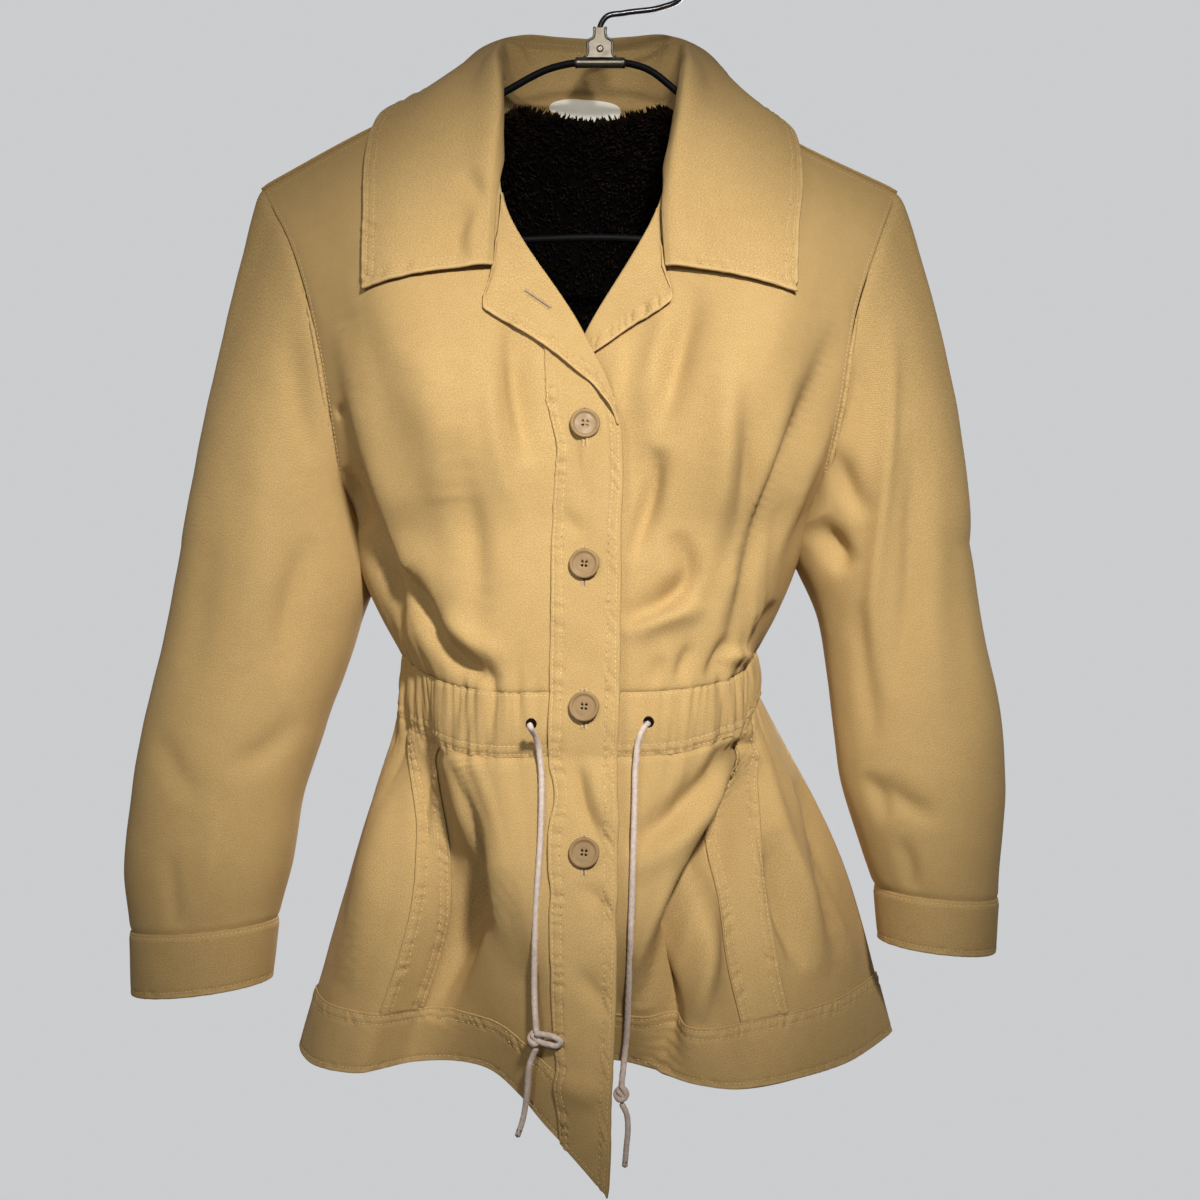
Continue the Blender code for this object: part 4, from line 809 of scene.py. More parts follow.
class Panel:
    """Cloth as a fine grid of points, with the coarse row and column that each fine one stands for."""

    def __init__(self, points, outside, rows=None, columns=None, closed=False):
        self.points = points
        self.closed = closed
        self.rows = np.arange(points.shape[0], dtype=float) if rows is None else rows
        self.columns = np.arange(points.shape[1], dtype=float) if columns is None else columns
        found = normals(points, closed)
        self.sign = 1.0 if (found * outside).sum() > 0 else -1.0
        self.out = self.sign * found

    def lift(self, height):
        """Moves the cloth out by a height at every point."""
        self.points = self.points + self.out * height[..., None]
        self.out = self.sign * normals(self.points, self.closed)

    def run(self, side):
        """The distance of every point from one side, along the cloth."""
        axis = 0 if side in ("top", "bottom") else 1
        steps = np.linalg.norm(np.diff(self.points, axis=axis), axis=-1)
        length = np.cumsum(np.insert(steps, 0, 0, axis=axis), axis=axis)
        if side in ("bottom", "last"):
            length = np.take(length, [-1], axis=axis) - length
        return length

    def lie(self, side):
        """The distance of every point along one side."""
        return self.run("first" if side in ("top", "bottom") else "top")

    def line(self, side, distance):
        """The line at a distance in from one side: rows of a point and its normal."""
        both = np.concatenate([self.points, self.out], axis=-1)
        away = self.run(side)
        if side in ("top", "bottom"):
            both, away = both.swapaxes(0, 1), away.T
        if side in ("bottom", "last"):
            both, away = both[:, ::-1], away[:, ::-1]
        found = [[np.interp(distance, d, b[:, k]) for k in range(6)] for d, b in zip(away, both)]
        if self.closed:
            found.append(found[0])
        return np.array(found)

    def at(self, row, column):
        """Points and normals at places of the coarse grid."""
        row, column = np.broadcast_arrays(np.asarray(row, float), np.asarray(column, float))
        r = np.interp(row, self.rows, np.arange(len(self.rows)))
        c = np.interp(column, self.columns, np.arange(len(self.columns)))
        r0 = np.clip(r.astype(int), 0, len(self.rows) - 2)
        c0 = np.clip(c.astype(int), 0, len(self.columns) - 2)
        a, b = (r - r0)[..., None], (c - c0)[..., None]

        def between(grid):
            near = (1 - b) * grid[r0, c0] + b * grid[r0, c0 + 1]
            far = (1 - b) * grid[r0 + 1, c0] + b * grid[r0 + 1, c0 + 1]
            return (1 - a) * near + a * far

        return between(self.points), unit(between(self.out))

    def quads(self):
        """The corners of every face, wound to face out."""
        index = numbered(*self.points.shape[:2])
        faces = quads_of(wrapped(index) if self.closed else index)
        return faces if self.sign > 0 else faces[:, ::-1]

    def tree(self):
        return BVHTree.FromPolygons(self.points.reshape(-1, 3).tolist(), self.quads().tolist())


def fine(grid, rows, columns):
    """A coarse grid read smoothly at places between its rows and columns."""
    down = spline(grid, rows)
    return spline(down.swapaxes(0, 1), columns).swapaxes(0, 1)


def fine_panel(coarse, spacing, outside, edges=()):
    """The smooth cloth through a coarse grid. Edges are the sides with a finer grid."""
    rows, columns = both_stops(coarse, spacing, edges)
    points = fine(coarse, rows, columns)
    return Panel(points, outside(points), rows, columns)


# Rows and columns of the sketch from which a strip's own places are worked out.
SKETCH = 12


def strip_on(panel, rows, columns, spacing, lift, edges=()):
    """A band on a panel between places of its coarse grid, moved out."""
    rows, columns = np.linspace(*rows, SKETCH), np.linspace(*columns, SKETCH)
    sketch, _ = panel.at(rows[:, None], columns[None, :])
    places = zip(both_stops(sketch, spacing, edges), (rows, columns))
    rows, columns = (np.interp(stop, np.arange(SKETCH), whole) for stop, whole in places)
    points, out = panel.at(rows[:, None], columns[None, :])
    return Panel(points + out * lift, out, rows, columns)


# A rolled edge: the column that gives its direction, rounds of smoothing along it, and steps round the turn.
ROLL_COLUMN = 5
ROLL_ROUNDS = 12
ROLL_STEPS = 5


def rolled(panel, depth):
    """The panel with its first column turned in over the edge that it covers."""
    edge, out = panel.points[:, 0], panel.out[:, ROLL_COLUMN].copy()
    away = edge - panel.points[:, ROLL_COLUMN]
    settle(away, ROLL_ROUNDS)
    settle(out, ROLL_ROUNDS)
    out = unit(out)
    away = unit(away - out * (away * out).sum(axis=-1, keepdims=True))
    radius = depth / 2
    turn = [
        edge + away * math.sin(a) * radius - out * (1 - math.cos(a)) * radius
        for a in np.linspace(0, math.pi, ROLL_STEPS + 1)[:0:-1]
    ]
    points = np.concatenate([np.stack(turn, axis=1), panel.points], axis=1)
    return Panel(points, np.broadcast_to(panel.out.mean(axis=(0, 1)), points.shape))


# Folds, gathers and puckers as heights over a panel.

def wavy(s, period, seed):
    """An uneven wave along a distance, about 1 high."""
    turn = 2 * math.pi / period
    phase = 1.6 * np.sin(turn * s / 3.7 + seed) + 2.1 * seed
    return np.sin(turn * s + phase) * (0.7 + 0.3 * np.sin(turn * s / 5.3 + 1.3 * seed))


def smooth(share):
    share = np.clip(share, 0, 1)
    return share * share * (3 - 2 * share)


# Places along a fold's line, and how far cloth has to turn to the viewer to take the whole fold.
FOLD_STEPS = 40
FOLD_FACING = 0.4


def folds(panel, table, facing=-1):
    """Heights of the folds of a table, on the cloth that faces the viewer (-1) or away (1)."""
    flat = panel.points[..., (0, 2)]
    height = np.zeros(flat.shape[:2])
    for line, left_width, right_width, depth in table:
        route = along(at_depth(line)[:, (0, 2)], np.linspace(0, 1, FOLD_STEPS))
        off = flat[:, :, None] - route
        distance = np.linalg.norm(off, axis=-1)
        nearest = distance.argmin(axis=-1)
        off = np.take_along_axis(off, nearest[..., None, None], axis=2)[:, :, 0]
        way = np.gradient(route, axis=0)[nearest]
        right_side = way[..., 1] * off[..., 0] - way[..., 0] * off[..., 1] < 0
        width = np.where(right_side, right_width, left_width)
        taper = np.sin(math.pi * (nearest / (FOLD_STEPS - 1)))
        height += depth * taper * np.exp(-((distance.min(axis=-1) / width) ** 2))
    return height * smooth(facing * panel.out[..., 1] / FOLD_FACING)


def seam(panel, side, depth=1.2, reach=4.0):
    """The dip of the cloth at a seam."""
    return -depth * np.exp(-((panel.run(side) / reach) ** 2))


def held_at(panel, sides, reach=10.0):
    """A share that is 0 at the named sides and 1 past their reach, to end folds at seams."""
    share = np.ones(panel.points.shape[:2])
    for side in sides:
        share *= smooth(panel.run(side) / reach)
    return share


# Stitched edges: height and slant of the small ridges, how far they go past the last stitch row, how far in
# from the edge they are full, and the depth of the groove under the stitches.
PUCKER_HEIGHT = 2.6
PUCKER_SLANT = 0.55
PUCKER_PAST = 2.5
PUCKER_START = 3.0
GROOVE = 0.45


def puckers(panel, side, rows_at, strength=0.4, seed=0.0, period=7.5):
    """The grooves of stitch rows in from one side, and the ladder of small ridges beside them."""
    away = panel.run(side)
    ladder = PUCKER_HEIGHT * strength * puffs(panel.lie(side) + PUCKER_SLANT * away, period, seed)
    height = ladder * smooth((max(rows_at) + PUCKER_PAST - away) / PUCKER_PAST) * smooth(away / PUCKER_START)
    for at in rows_at:
        height -= GROOVE * np.exp(-((away - at) ** 2))
    return height


def puffs(s, period, seed):
    """Rounded ridges with narrow valleys between them along a distance, uneven in width and height."""
    turn = math.pi / period
    phase = 1.2 * np.sin(turn * s / 2.3 + seed) + 2.7 * seed
    size = 0.65 + 0.35 * np.sin(turn * s / 3.1 + 1.9 * seed)
    return (np.abs(np.sin(turn * s + phase)) ** 0.7 - 0.64) * size


# Gathers: height and width of the small ones at the seam, the same of the broad ones that reach further, and
# how much of the small ones is there where the waist is hardly gathered.
SMALL_GATHER = (4.0, 8.5)
BROAD_GATHER = (6.6, 23.0)
LEAST_GATHER = 0.35


def gathers(panel, side, strength_table, length, seed, small_reach, broad_reach):
    """Gathers that start at one side and die away from it. Panels that share a seam get the same ridges."""
    edge = panel.lie(side)[0 if side == "top" else -1]
    share = edge / edge[-1]
    strength = np.interp(share, *np.array(strength_table).T)
    away = panel.run(side)
    s = share * length
    lean = s + away * 0.35 * np.sin(s / 31 + seed)
    small = SMALL_GATHER[0] * puffs(s, SMALL_GATHER[1], seed) * np.exp(-away / small_reach)
    broad = BROAD_GATHER[0] * puffs(lean, BROAD_GATHER[1], seed + 1.7) * np.exp(-away / broad_reach)
    return (LEAST_GATHER + (1 - LEAST_GATHER) * strength) * small + strength * broad


def uneven(panel, amount, seed):
    """Light slow unevenness all over a panel."""
    x, y, z = np.moveaxis(panel.points, -1, 0)
    slow = np.sin(x / 17 + seed + 1.4 * np.sin(z / 31 + seed)) * np.sin(z / 23 + 2 * seed + np.sin(x / 29))
    quick = np.sin(x / 8.5 + z / 13 + seed * 3) * np.sin(z / 9.5 - y / 12 + seed)
    return amount * (0.75 * slow + 0.25 * quick)


# Making meshes.

def finish(name, points, faces, material, slot, *nodes):
    """A smooth mesh of the points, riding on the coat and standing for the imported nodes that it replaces."""
    mesh = bpy.data.meshes.new(name)
    mesh.from_pydata((np.asarray(points) * MM).tolist(), [], [list(f) for f in faces])
    mesh.shade_smooth()
    mesh.materials.append(looks[material])
    made = bpy.data.objects.new(name, mesh)
    bpy.context.scene.collection.objects.link(made)
    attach(made, "root")
    if nodes:
        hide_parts(*nodes)
    return made


def boundary(panel):
    """The panel's free border as closed loops of point numbers, in the order of its unflipped faces."""
    index = numbered(*panel.points.shape[:2])
    if panel.closed:
        return [index[0], index[-1, ::-1]]
    return [np.concatenate([index[0, :-1], index[:-1, -1], index[-1, :0:-1], index[:0:-1, 0]])]


# How far a shell's rounded rim stands out, in thicknesses, and how far in from a free side the cloth is worn.
RIM_OUT = 0.4
WORN_REACH = 2.0


def shell(name, panel, thickness, material, slot, node, free=(), rests_on=("hanger_frame",)):
    """A closed thin shell under a panel, with a rounded rim. Free sides are worn a little lighter."""
    rows, columns = panel.points.shape[:2]
    count = rows * columns
    outer = panel.points.reshape(-1, 3)
    inner = outer - panel.out.reshape(-1, 3) * thickness
    quads = panel.quads()
    points = [outer, inner]
    faces = [quads, quads[:, ::-1] + count]
    start = 2 * count
    for loop in boundary(panel):
        r, c = np.divmod(loop, columns)
        column_inside = c if panel.closed else np.clip(c, 1, columns - 2)
        inside = np.clip(r, 1, rows - 2) * columns + column_inside
        away = unit(outer[loop] - outer[inside])
        points.append((outer[loop] + inner[loop]) / 2 + away * thickness * RIM_OUT)
        rim = start + np.arange(len(loop))
        start += len(loop)
        after, rim_after = np.roll(loop, -1), np.roll(rim, -1)
        band = np.concatenate([
            np.stack([after, loop, rim, rim_after], axis=-1),
            np.stack([rim_after, rim, loop + count, after + count], axis=-1),
        ])
        faces.append(band if panel.sign > 0 else band[:, ::-1])
    points, faces = np.concatenate(points), np.concatenate(faces)
    made = finish(name, points, faces, material, slot, node)
    add_cloth_maps(made.data, panel, faces, free)
    return made


def cloth(node, panel, thickness=CLOTH, free=()):
    """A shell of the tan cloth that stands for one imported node."""
    return shell(f"cloth_{node}", panel, thickness, "tan_twill_cloth", "tan_twill", node, free)


def add_cloth_maps(mesh, panel, faces, free):
    """Lays flat coordinates in metres on a shell, and marks how worn it is at its free sides."""
    rows, columns = panel.points.shape[:2]
    count = rows * columns
    span = panel.run("first").mean(axis=0)
    fall = panel.run("top").mean(axis=1)
    wrap = span[-1] + np.linalg.norm(panel.points[:, 0] - panel.points[:, -1], axis=-1).mean()
    flat = np.stack(np.meshgrid(span, fall), axis=-1).reshape(-1, 2) * MM
    corners = np.where(faces < 2 * count, faces % count, 0)
    uv = flat[corners]
    rim = faces >= 2 * count
    known = ~rim.any(axis=1)
    uv[rim] = np.repeat(uv[:, :1], 4, axis=1)[rim]
    if panel.closed:
        crosses = known & (np.ptp(uv[..., 0], axis=1) > span[-1] * MM / 2)
        low = uv[..., 0] < span[-1] * MM / 2
        uv[..., 0] = np.where(crosses[:, None] & low, wrap * MM, uv[..., 0])
    layer = mesh.uv_layers.new(name="cloth")
    layer.data.foreach_set("uv", uv.reshape(-1))
    worn = np.zeros((rows, columns))
    for side in free:
        worn = np.maximum(worn, np.exp(-((panel.run(side) / WORN_REACH) ** 2)))
    values = np.concatenate([worn.reshape(-1), worn.reshape(-1)])
    rim_worn = np.full(len(mesh.vertices) - 2 * count, 1.0 if free else 0.0)
    mark = mesh.attributes.new("worn", "FLOAT", "POINT")
    mark.data.foreach_set("value", np.concatenate([values, rim_worn]))


# A stitch is a short thread with two rings of three points and two ends: along, side, up, in shares.
STITCH_POINTS = np.array([
    (-0.5, 0, -0.4),
    (-0.32, -0.9, -0.3), (-0.32, 0.9, -0.3), (-0.32, 0, 0.9),
    (0.32, -0.9, -0.3), (0.32, 0.9, -0.3), (0.32, 0, 0.9),
    (0.5, 0, -0.4),
])
STITCH_FACES = np.array([
    (0, 2, 1), (0, 3, 2), (0, 1, 3),
    (1, 2, 5), (1, 5, 4), (2, 3, 6), (2, 6, 5), (3, 1, 4), (3, 4, 6),
    (7, 4, 5), (7, 5, 6), (7, 6, 4),
])
STITCH_PITCH = 3.1
STITCH_LENGTH = 2.3
STITCH_RADIUS = 0.36
sewn = {"bodice": [], "waist": [], "sleeves": [], "collar": [], "buttonholes": []}


def thread(group, at, way, up, length=STITCH_LENGTH, radius=STITCH_RADIUS):
    """Adds stitches to a group: their middles, directions and upward sides."""
    way = unit(way)
    side = unit(np.cross(up, way))
    up = np.cross(way, side)
    shape = STITCH_POINTS * (length, radius, radius)
    laid = sum(shape[None, :, k, None] * axis[:, None] for k, axis in enumerate((way, side, up)))
    sewn[group].append(at[:, None] + laid)


def sew(group, line, first=0.0, last=1.0):
    """Adds a row of stitches on a line of points and normals, between two shares of its length."""
    length = lengths(line[:, :3])
    at = np.arange(first * length[-1] + STITCH_PITCH, last * length[-1] - STITCH_PITCH / 2, STITCH_PITCH)
    found = np.stack([np.interp(at, length, line[:, k]) for k in range(6)], axis=1)
    if len(found) > 2:
        thread(group, found[:, :3], np.gradient(found[:, :3], axis=0), unit(found[:, 3:]))


def sew_rows(group, panel, side, distances, first=0.0, last=1.0):
    """Adds rows of stitches at distances in from one side of a panel."""
    for distance in distances:
        sew(group, panel.line(side, distance), first, last)


def build_stitching():
    for group, parts in sewn.items():
        points = np.concatenate(parts)
        start = np.arange(len(points)) * len(STITCH_POINTS)
        faces = (STITCH_FACES[None] + start[:, None, None]).reshape(-1, 3)
        finish(f"stitching_{group}", points.reshape(-1, 3), faces, "tan_thread", "tan_twill")


def tube_points(route, radius, sides, closed=False):
    """Rings of points round a route, turned as little as possible from one to the next."""
    if closed:
        ways = unit(np.roll(route, -1, axis=0) - np.roll(route, 1, axis=0))
    else:
        ways = unit(np.gradient(route, axis=0))
    side = unit(np.cross(ways[0], (0.3, 1.0, 0.2)))
    radius = np.broadcast_to(radius, (len(route), sides))
    angles = 2 * math.pi * np.arange(sides) / sides
    rings = []
    for p, way, r in zip(route, ways, radius):
        side = unit(side - way * (side @ way))
        up = np.cross(way, side)
        rings.append(p + r[:, None] * (np.cos(angles)[:, None] * side + np.sin(angles)[:, None] * up))
    return np.stack(rings)


# How far the point of a tube's round end stands out, in radii.
TUBE_END = 0.6


def tube(name, route, radius, sides, material, slot, *nodes, closed=False):
    """A round wire or cord along a route, with round ends unless it is closed."""
    route = np.asarray(route, float)
    points = tube_points(route, radius, sides, closed).reshape(-1, 3)
    around = wrapped(numbered(len(route), sides))
    if closed:
        faces = quads_of(np.concatenate([around, around[:1]])).tolist()
    else:
        size = float(np.mean(radius))
        first_end = route[0] - unit(route[1] - route[0]) * size * TUBE_END
        last_end = route[-1] + unit(route[-1] - route[-2]) * size * TUBE_END
        count = len(points)
        points = np.concatenate([points, [first_end, last_end]])
        faces = quads_of(around).tolist()
        faces += [(count, b, a) for a, b in zip(around[0, :-1], around[0, 1:])]
        faces += [(count + 1, a, b) for a, b in zip(around[-1, :-1], around[-1, 1:])]
    return finish(name, points, faces, material, slot, *nodes)


def turned(name, profile, segments, at, facing, material, slot, *nodes):
    """A disc turned from a profile of (radius, height) that starts and ends on its axis."""
    angles = 2 * math.pi * np.arange(segments) / segments
    turn = np.array(Vector(facing).to_track_quat("Z", "Y").to_matrix())
    rings = [[(r * math.cos(a), r * math.sin(a), h) for a in angles] for r, h in profile]
    points = np.array(rings).reshape(-1, 3) @ turn.T + np.asarray(at, float)
    index = numbered(len(profile), segments)
    faces = quads_of(wrapped(index)).tolist() + [index[0, ::-1].tolist(), index[-1].tolist()]
    return finish(name, points, faces, material, slot, *nodes)


def settled(made, cutter):
    """Cuts one closed mesh from another for good."""
    modifier = made.modifiers.new("cut", "BOOLEAN")
    modifier.operation = "DIFFERENCE"
    modifier.object = cutter
    shape = made.evaluated_get(bpy.context.evaluated_depsgraph_get())
    mesh = bpy.data.meshes.new_from_object(shape)
    made.modifiers.clear()
    made.data = mesh
    bpy.data.objects.remove(cutter)


# Materials.

def new_material(name, colour, roughness, values):
    """A material with its plain values set, its shader, a short way to add nodes, and its links."""
    made = bpy.data.materials.new(name)
    made.use_nodes = True
    nodes, links = made.node_tree.nodes, made.node_tree.links
    shader = nodes["Principled BSDF"]
    for socket, value in {"Base Color": (*colour, 1), "Roughness": roughness, **values}.items():
        shader.inputs[socket].default_value = value

    def add(kind, values=(), **settings):
        node = nodes.new(kind)
        for key, value in settings.items():
            setattr(node, key, value)
        for key, value in dict(values).items():
            if isinstance(value, bpy.types.NodeSocket):
                links.new(value, node.inputs[key])
            else:
                node.inputs[key].default_value = value
        return node

    return made, shader, add, links


def mixed(add, factor, low, high):
    """A colour between two colours or sockets, by a factor."""
    node = add("ShaderNodeMix", data_type="RGBA", clamp_factor=True)
    for key, value in (("Factor_Float", factor), ("A_Color", low), ("B_Color", high)):
        socket = next(s for s in node.inputs if s.identifier == key)
        if isinstance(value, bpy.types.NodeSocket):
            node.id_data.links.new(value, socket)
        else:
            socket.default_value = value if key == "Factor_Float" else (*value, 1)
    return next(s for s in node.outputs if s.identifier == "Result_Color")


def ranged(add, value, low, high, out_low=0.0, out_high=1.0):
    """A socket's value moved from one range to another."""
    node = add("ShaderNodeMapRange", {"Value": value, "From Min": low, "From Max": high})
    node.inputs["To Min"].default_value = out_low
    node.inputs["To Max"].default_value = out_high
    return node.outputs["Result"]


def noise(add, where, scale, detail, roughness):
    """Uneven grain of one scale, as a socket."""
    values = {"Vector": where, "Scale": scale, "Detail": detail, "Roughness": roughness}
    return add("ShaderNodeTexNoise", values).outputs["Fac"]


def emboss(add, links, shader, height, strength, distance):
    """Gives a shader a fine relief."""
    bump = add("ShaderNodeBump", {"Height": height, "Strength": strength, "Distance": distance})
    links.new(bump.outputs["Normal"], shader.inputs["Normal"])


def twill(name):
    """Brushed cotton twill: fine slanting ribs, uneven yarn, soft stains of tone and paler worn edges."""
    made, shader, add, links = new_material(name, TAN, 0.86, {
        "Sheen Weight": 0.03, "Sheen Roughness": 0.45, "Sheen Tint": (0.95, 0.84, 0.66, 1),
        "Specular IOR Level": 0.22,
    })
    flat = add("ShaderNodeUVMap", uv_map="cloth").outputs["UV"]
    body = add("ShaderNodeTexCoord").outputs["Object"]
    slant = {"Vector": flat, "Scale": 560.0, "Distortion": 1.6, "Detail": 2.0, "Detail Scale": 0.6}
    rib = add("ShaderNodeTexWave", slant, wave_type="BANDS", bands_direction="DIAGONAL").outputs["Fac"]
    yarn = noise(add, flat, 1250.0, 2.0, 0.6)
    mottle = noise(add, body, 120.0, 5.0, 0.65)
    stain = noise(add, body, 11.0, 3.0, 0.5)
    worn = add("ShaderNodeAttribute", attribute_name="worn").outputs["Fac"]
    rubbed = add("ShaderNodeMath", {0: worn, 1: mottle}, operation="MULTIPLY").outputs[0]
    tone = TAN
    # Columns: what sets the tone, the range in which it does, most of the second tone, the second tone.
    for grain, low, high, most, second in (
        (stain, 0.35, 0.7, 0.25, TAN_DEEP),
        (mottle, 0.40, 0.70, 0.20, TAN_WORN),
        (rib, 0.55, 0.0, 0.30, TAN_DEEP),
        (yarn, 0.48, 0.70, 0.75, TAN_WORN),
        (yarn, 0.48, 0.30, 0.75, TAN_DEEP),
        (rubbed, 0.15, 0.6, 0.75, TAN_WORN),
    ):
        tone = mixed(add, ranged(add, grain, low, high, 0, most), tone, second)
    links.new(tone, shader.inputs["Base Color"])
    relief = add("ShaderNodeMath", {0: rib, 1: yarn}, operation="ADD").outputs[0]
    emboss(add, links, shader, relief, 0.5, 0.0003)
    return made


def grained(name, colour, second, roughness, scale, share, bump_height, values):
    """A material of two near colours in grain of one scale, with a light relief of the same grain."""
    made, shader, add, links = new_material(name, colour, roughness, values)
    grain = noise(add, add("ShaderNodeTexCoord").outputs["Object"], scale, 4.0, 0.6)
    tone = mixed(add, ranged(add, grain, 0.35, 0.68, 0, share), colour, second)
    links.new(tone, shader.inputs["Base Color"])
    rough = ranged(add, grain, 0.3, 0.7, roughness * 0.8, min(1, roughness * 1.25))
    links.new(rough, shader.inputs["Roughness"])
    emboss(add, links, shader, grain, 0.4, bump_height)
    return made


# Building.

def set_camera():
    data = bpy.data.cameras.new("camera")
    data.lens = CAMERA_LENS
    data.sensor_width = CAMERA_SENSOR
    camera = bpy.data.objects.new("camera", data)
    camera.location = CAMERA_AT
    camera.rotation_euler = (math.pi / 2, 0, 0)
    bpy.context.scene.collection.objects.link(camera)
    bpy.context.scene.camera = camera


def hung(route, tree, clearance):
    """A cord's route laid just in front of what it hangs against."""
    points = along(at_depth(route), np.linspace(0, 1, 3 * len(route)))
    ys = [front_of(tree, x, z) for x, _, z in points]
    seen = [y for y in ys if y is not None] or [0.0]
    ys = np.array([seen[-1] if y is None else y for y in ys])
    for _ in range(3):
        ys = np.minimum(ys, np.convolve(np.pad(ys, 1, mode="edge"), (0.25, 0.5, 0.25), mode="valid"))
    points[:, 1] = ys - clearance
    return points


# The braid: length of a step along it, points round it, strands each way, and the length of a turn.
BRAID_STEP = 0.9
KNOT_STEP = 0.6
BRAID_SIDES = 14
BRAID_STRANDS = 4
BRAID_TURN = 6.4


def braided(name, route, *nodes, step=BRAID_STEP, share=1.0):
    """A braided cord on a route, a share as thick as the drawstring. Returns it and its smooth path."""
    length = lengths(route)
    at = np.linspace(0, 1, int(length[-1] / step))
    path = along(route, at)
    s = (at * length[-1])[:, None]
    a = (2 * math.pi * np.arange(BRAID_SIDES) / BRAID_SIDES)[None]
    one = np.cos(BRAID_STRANDS * a + 2 * math.pi * s / BRAID_TURN)
    two = np.cos(BRAID_STRANDS * a - 2 * math.pi * s / BRAID_TURN)
    radius = CORD_DIAMETER / 2 * (0.93 + 0.09 * np.maximum(one, two))
    return tube(name, path, radius * share, BRAID_SIDES, "pale_braid", "pale_cord", *nodes), path


# Each knot as a loop of cord about its middle: across, towards the viewer, up, in shares of its half size.
KNOT_TURNS = (
    (-0.1, 0.3, 1.1), (0.35, 0.55, 0.5), (0.5, 0.5, -0.35), (-0.2, 0.6, -0.75), (-0.75, 0.1, -0.2),
    (-0.4, -0.45, 0.5), (0.45, -0.4, 0.4), (0.6, 0.1, -0.3), (0.0, 0.35, -0.1), (-0.5, 0.3, 0.35),
    (-0.2, -0.2, 0.0), (0.1, -0.3, -0.6), (-0.1, 0.0, -1.1),
)
# The right knot's loop out to the viewer's right: x, y and z from the knot's middle.
LOOP_RIGHT = (
    (0, -3, 3), (6, -5.5, 3), (12, -7.5, 1.8), (15.5, -7.5, -0.5), (14, -7, -3), (8, -5.5, -3),
    (1, -2.5, -1.5),
)
# The size of a knot's turns in shares of its half size, how the last points of a cord come forward to the
# knot, and the number of a tail's last points that its tip covers.
KNOT_SHARE = (0.72, -0.72, 0.8)
KNOT_FORWARD = (0.25, 0.7, 1.0)
TIP_STEPS = 7


def build_cords():
    """Both free ends of the drawstring, each with its knot, its tail and the tail's dark tip."""
    carriers = [f"{name}_{side}" for name in ("casing", "skirt", "hem") for side in ("right", "left")]
    tree = tree_of("placket", *carriers)
    clearance = CORD_DIAMETER / 2 + CORD_GAP
    for side, route, tail in (("right", CORD_RIGHT, TAIL_RIGHT), ("left", CORD_LEFT, TAIL_LEFT)):
        points = hung(route, tree, clearance)
        x, y, z = points[0]
        surface_y = y + clearance
        start = np.array([(x, surface_y + 0.5, z + 0.2), (x, surface_y - 1.6, z - 0.4)])
        points = np.concatenate([start, points[1:]])
        forward = KNOT_HALF[1] - CORD_DIAMETER / 2 + KNOT_PROUD
        points[-3:, 1] -= forward * np.array(KNOT_FORWARD)
        knot = points[-1] - (0, 0, KNOT_HALF[2] + 0.3)
        free = hung(tail, tree, clearance)
        free += knot - (0, 0, KNOT_HALF[2] + 0.6) - free[0]
        into_knot = np.concatenate([points, [knot + (0, 0, 2.0)]])
        cord, path = braided(f"drawstring_{side}", into_knot, f"cord_{side}")
        turns = knot + np.array(KNOT_TURNS) * (np.array(KNOT_HALF) * KNOT_SHARE)
        pieces = [braided(f"drawstring_knot_{side}", turns, f"knot_{side}", step=KNOT_STEP, share=0.92)[0]]
        if side == "right":
            loop = knot + np.array(LOOP_RIGHT, float)
            pieces.append(braided("drawstring_loop_right", loop, step=KNOT_STEP, share=0.95)[0])
        end, path = braided(f"drawstring_tail_{side}", free, f"tail_{side}", share=0.95)
        tip_route = path[-TIP_STEPS:] + (path[-1] - path[-2]) * 0.3
        tip_radius = CORD_DIAMETER * 0.44
        tip = tube(f"drawstring_tip_{side}", tip_route, tip_radius, BRAID_SIDES, "dark_tip", "pale_cord")


def right_front():
    """The right front's bodice, casing and skirt as coarse grids."""
    v = rows_through(place(EDGE_RIGHT), place(BREAK_RIGHT))
    seams = SHOULDER_RIGHT, EDGE_RIGHT, ARMHOLE_FRONT_RIGHT, SIDE_RIGHT
    return front_grid(*seams, RIGHT_LINES, v, BULGES_RIGHT), casing_grid(RIGHT_LINES), skirt_grid(RIGHT_LINES)


def left_front():
    """The left front's bodice, casing and skirt as coarse grids, tucked behind the right one's."""
    seams = SHOULDER_LEFT, EDGE_LEFT, ARMHOLE_FRONT_LEFT, SIDE_LEFT
    behind = CAD_CLOTH + OVERLAP_GAP
    bodice = tucked_behind(front_grid(*seams, LEFT_LINES, ROWS, BULGES_LEFT), tree_of("front_right"), behind)
    cover = tree_of("casing_right", "skirt_right")
    return bodice, *(tucked_behind(made(LEFT_LINES), cover, behind) for made in (casing_grid, skirt_grid))


# Spacing of the fine grids: front panels, strips, and the back's bodice, casing and skirt.
FRONT_SPACING = 2.6
STRIP_SPACING = 1.8
BACK_SPACINGS = (4.0, 2.6, 3.6)
# Length of the ungathered waist of a front and of the back, and depth and reach of the dip at its seams.
WAIST_FRONT = 230.0
WAIST_BACK = 330.0
WAIST_SEAM = (0.8, 2.5)
# How far gathers reach across the casing: small ones, broad ones.
CASING_REACH = (16, 24)


def sew_casing(casing):
    sew_rows("waist", casing, "top", SEAM_ROWS[:1])
    sew_rows("waist", casing, "bottom", SEAM_ROWS)


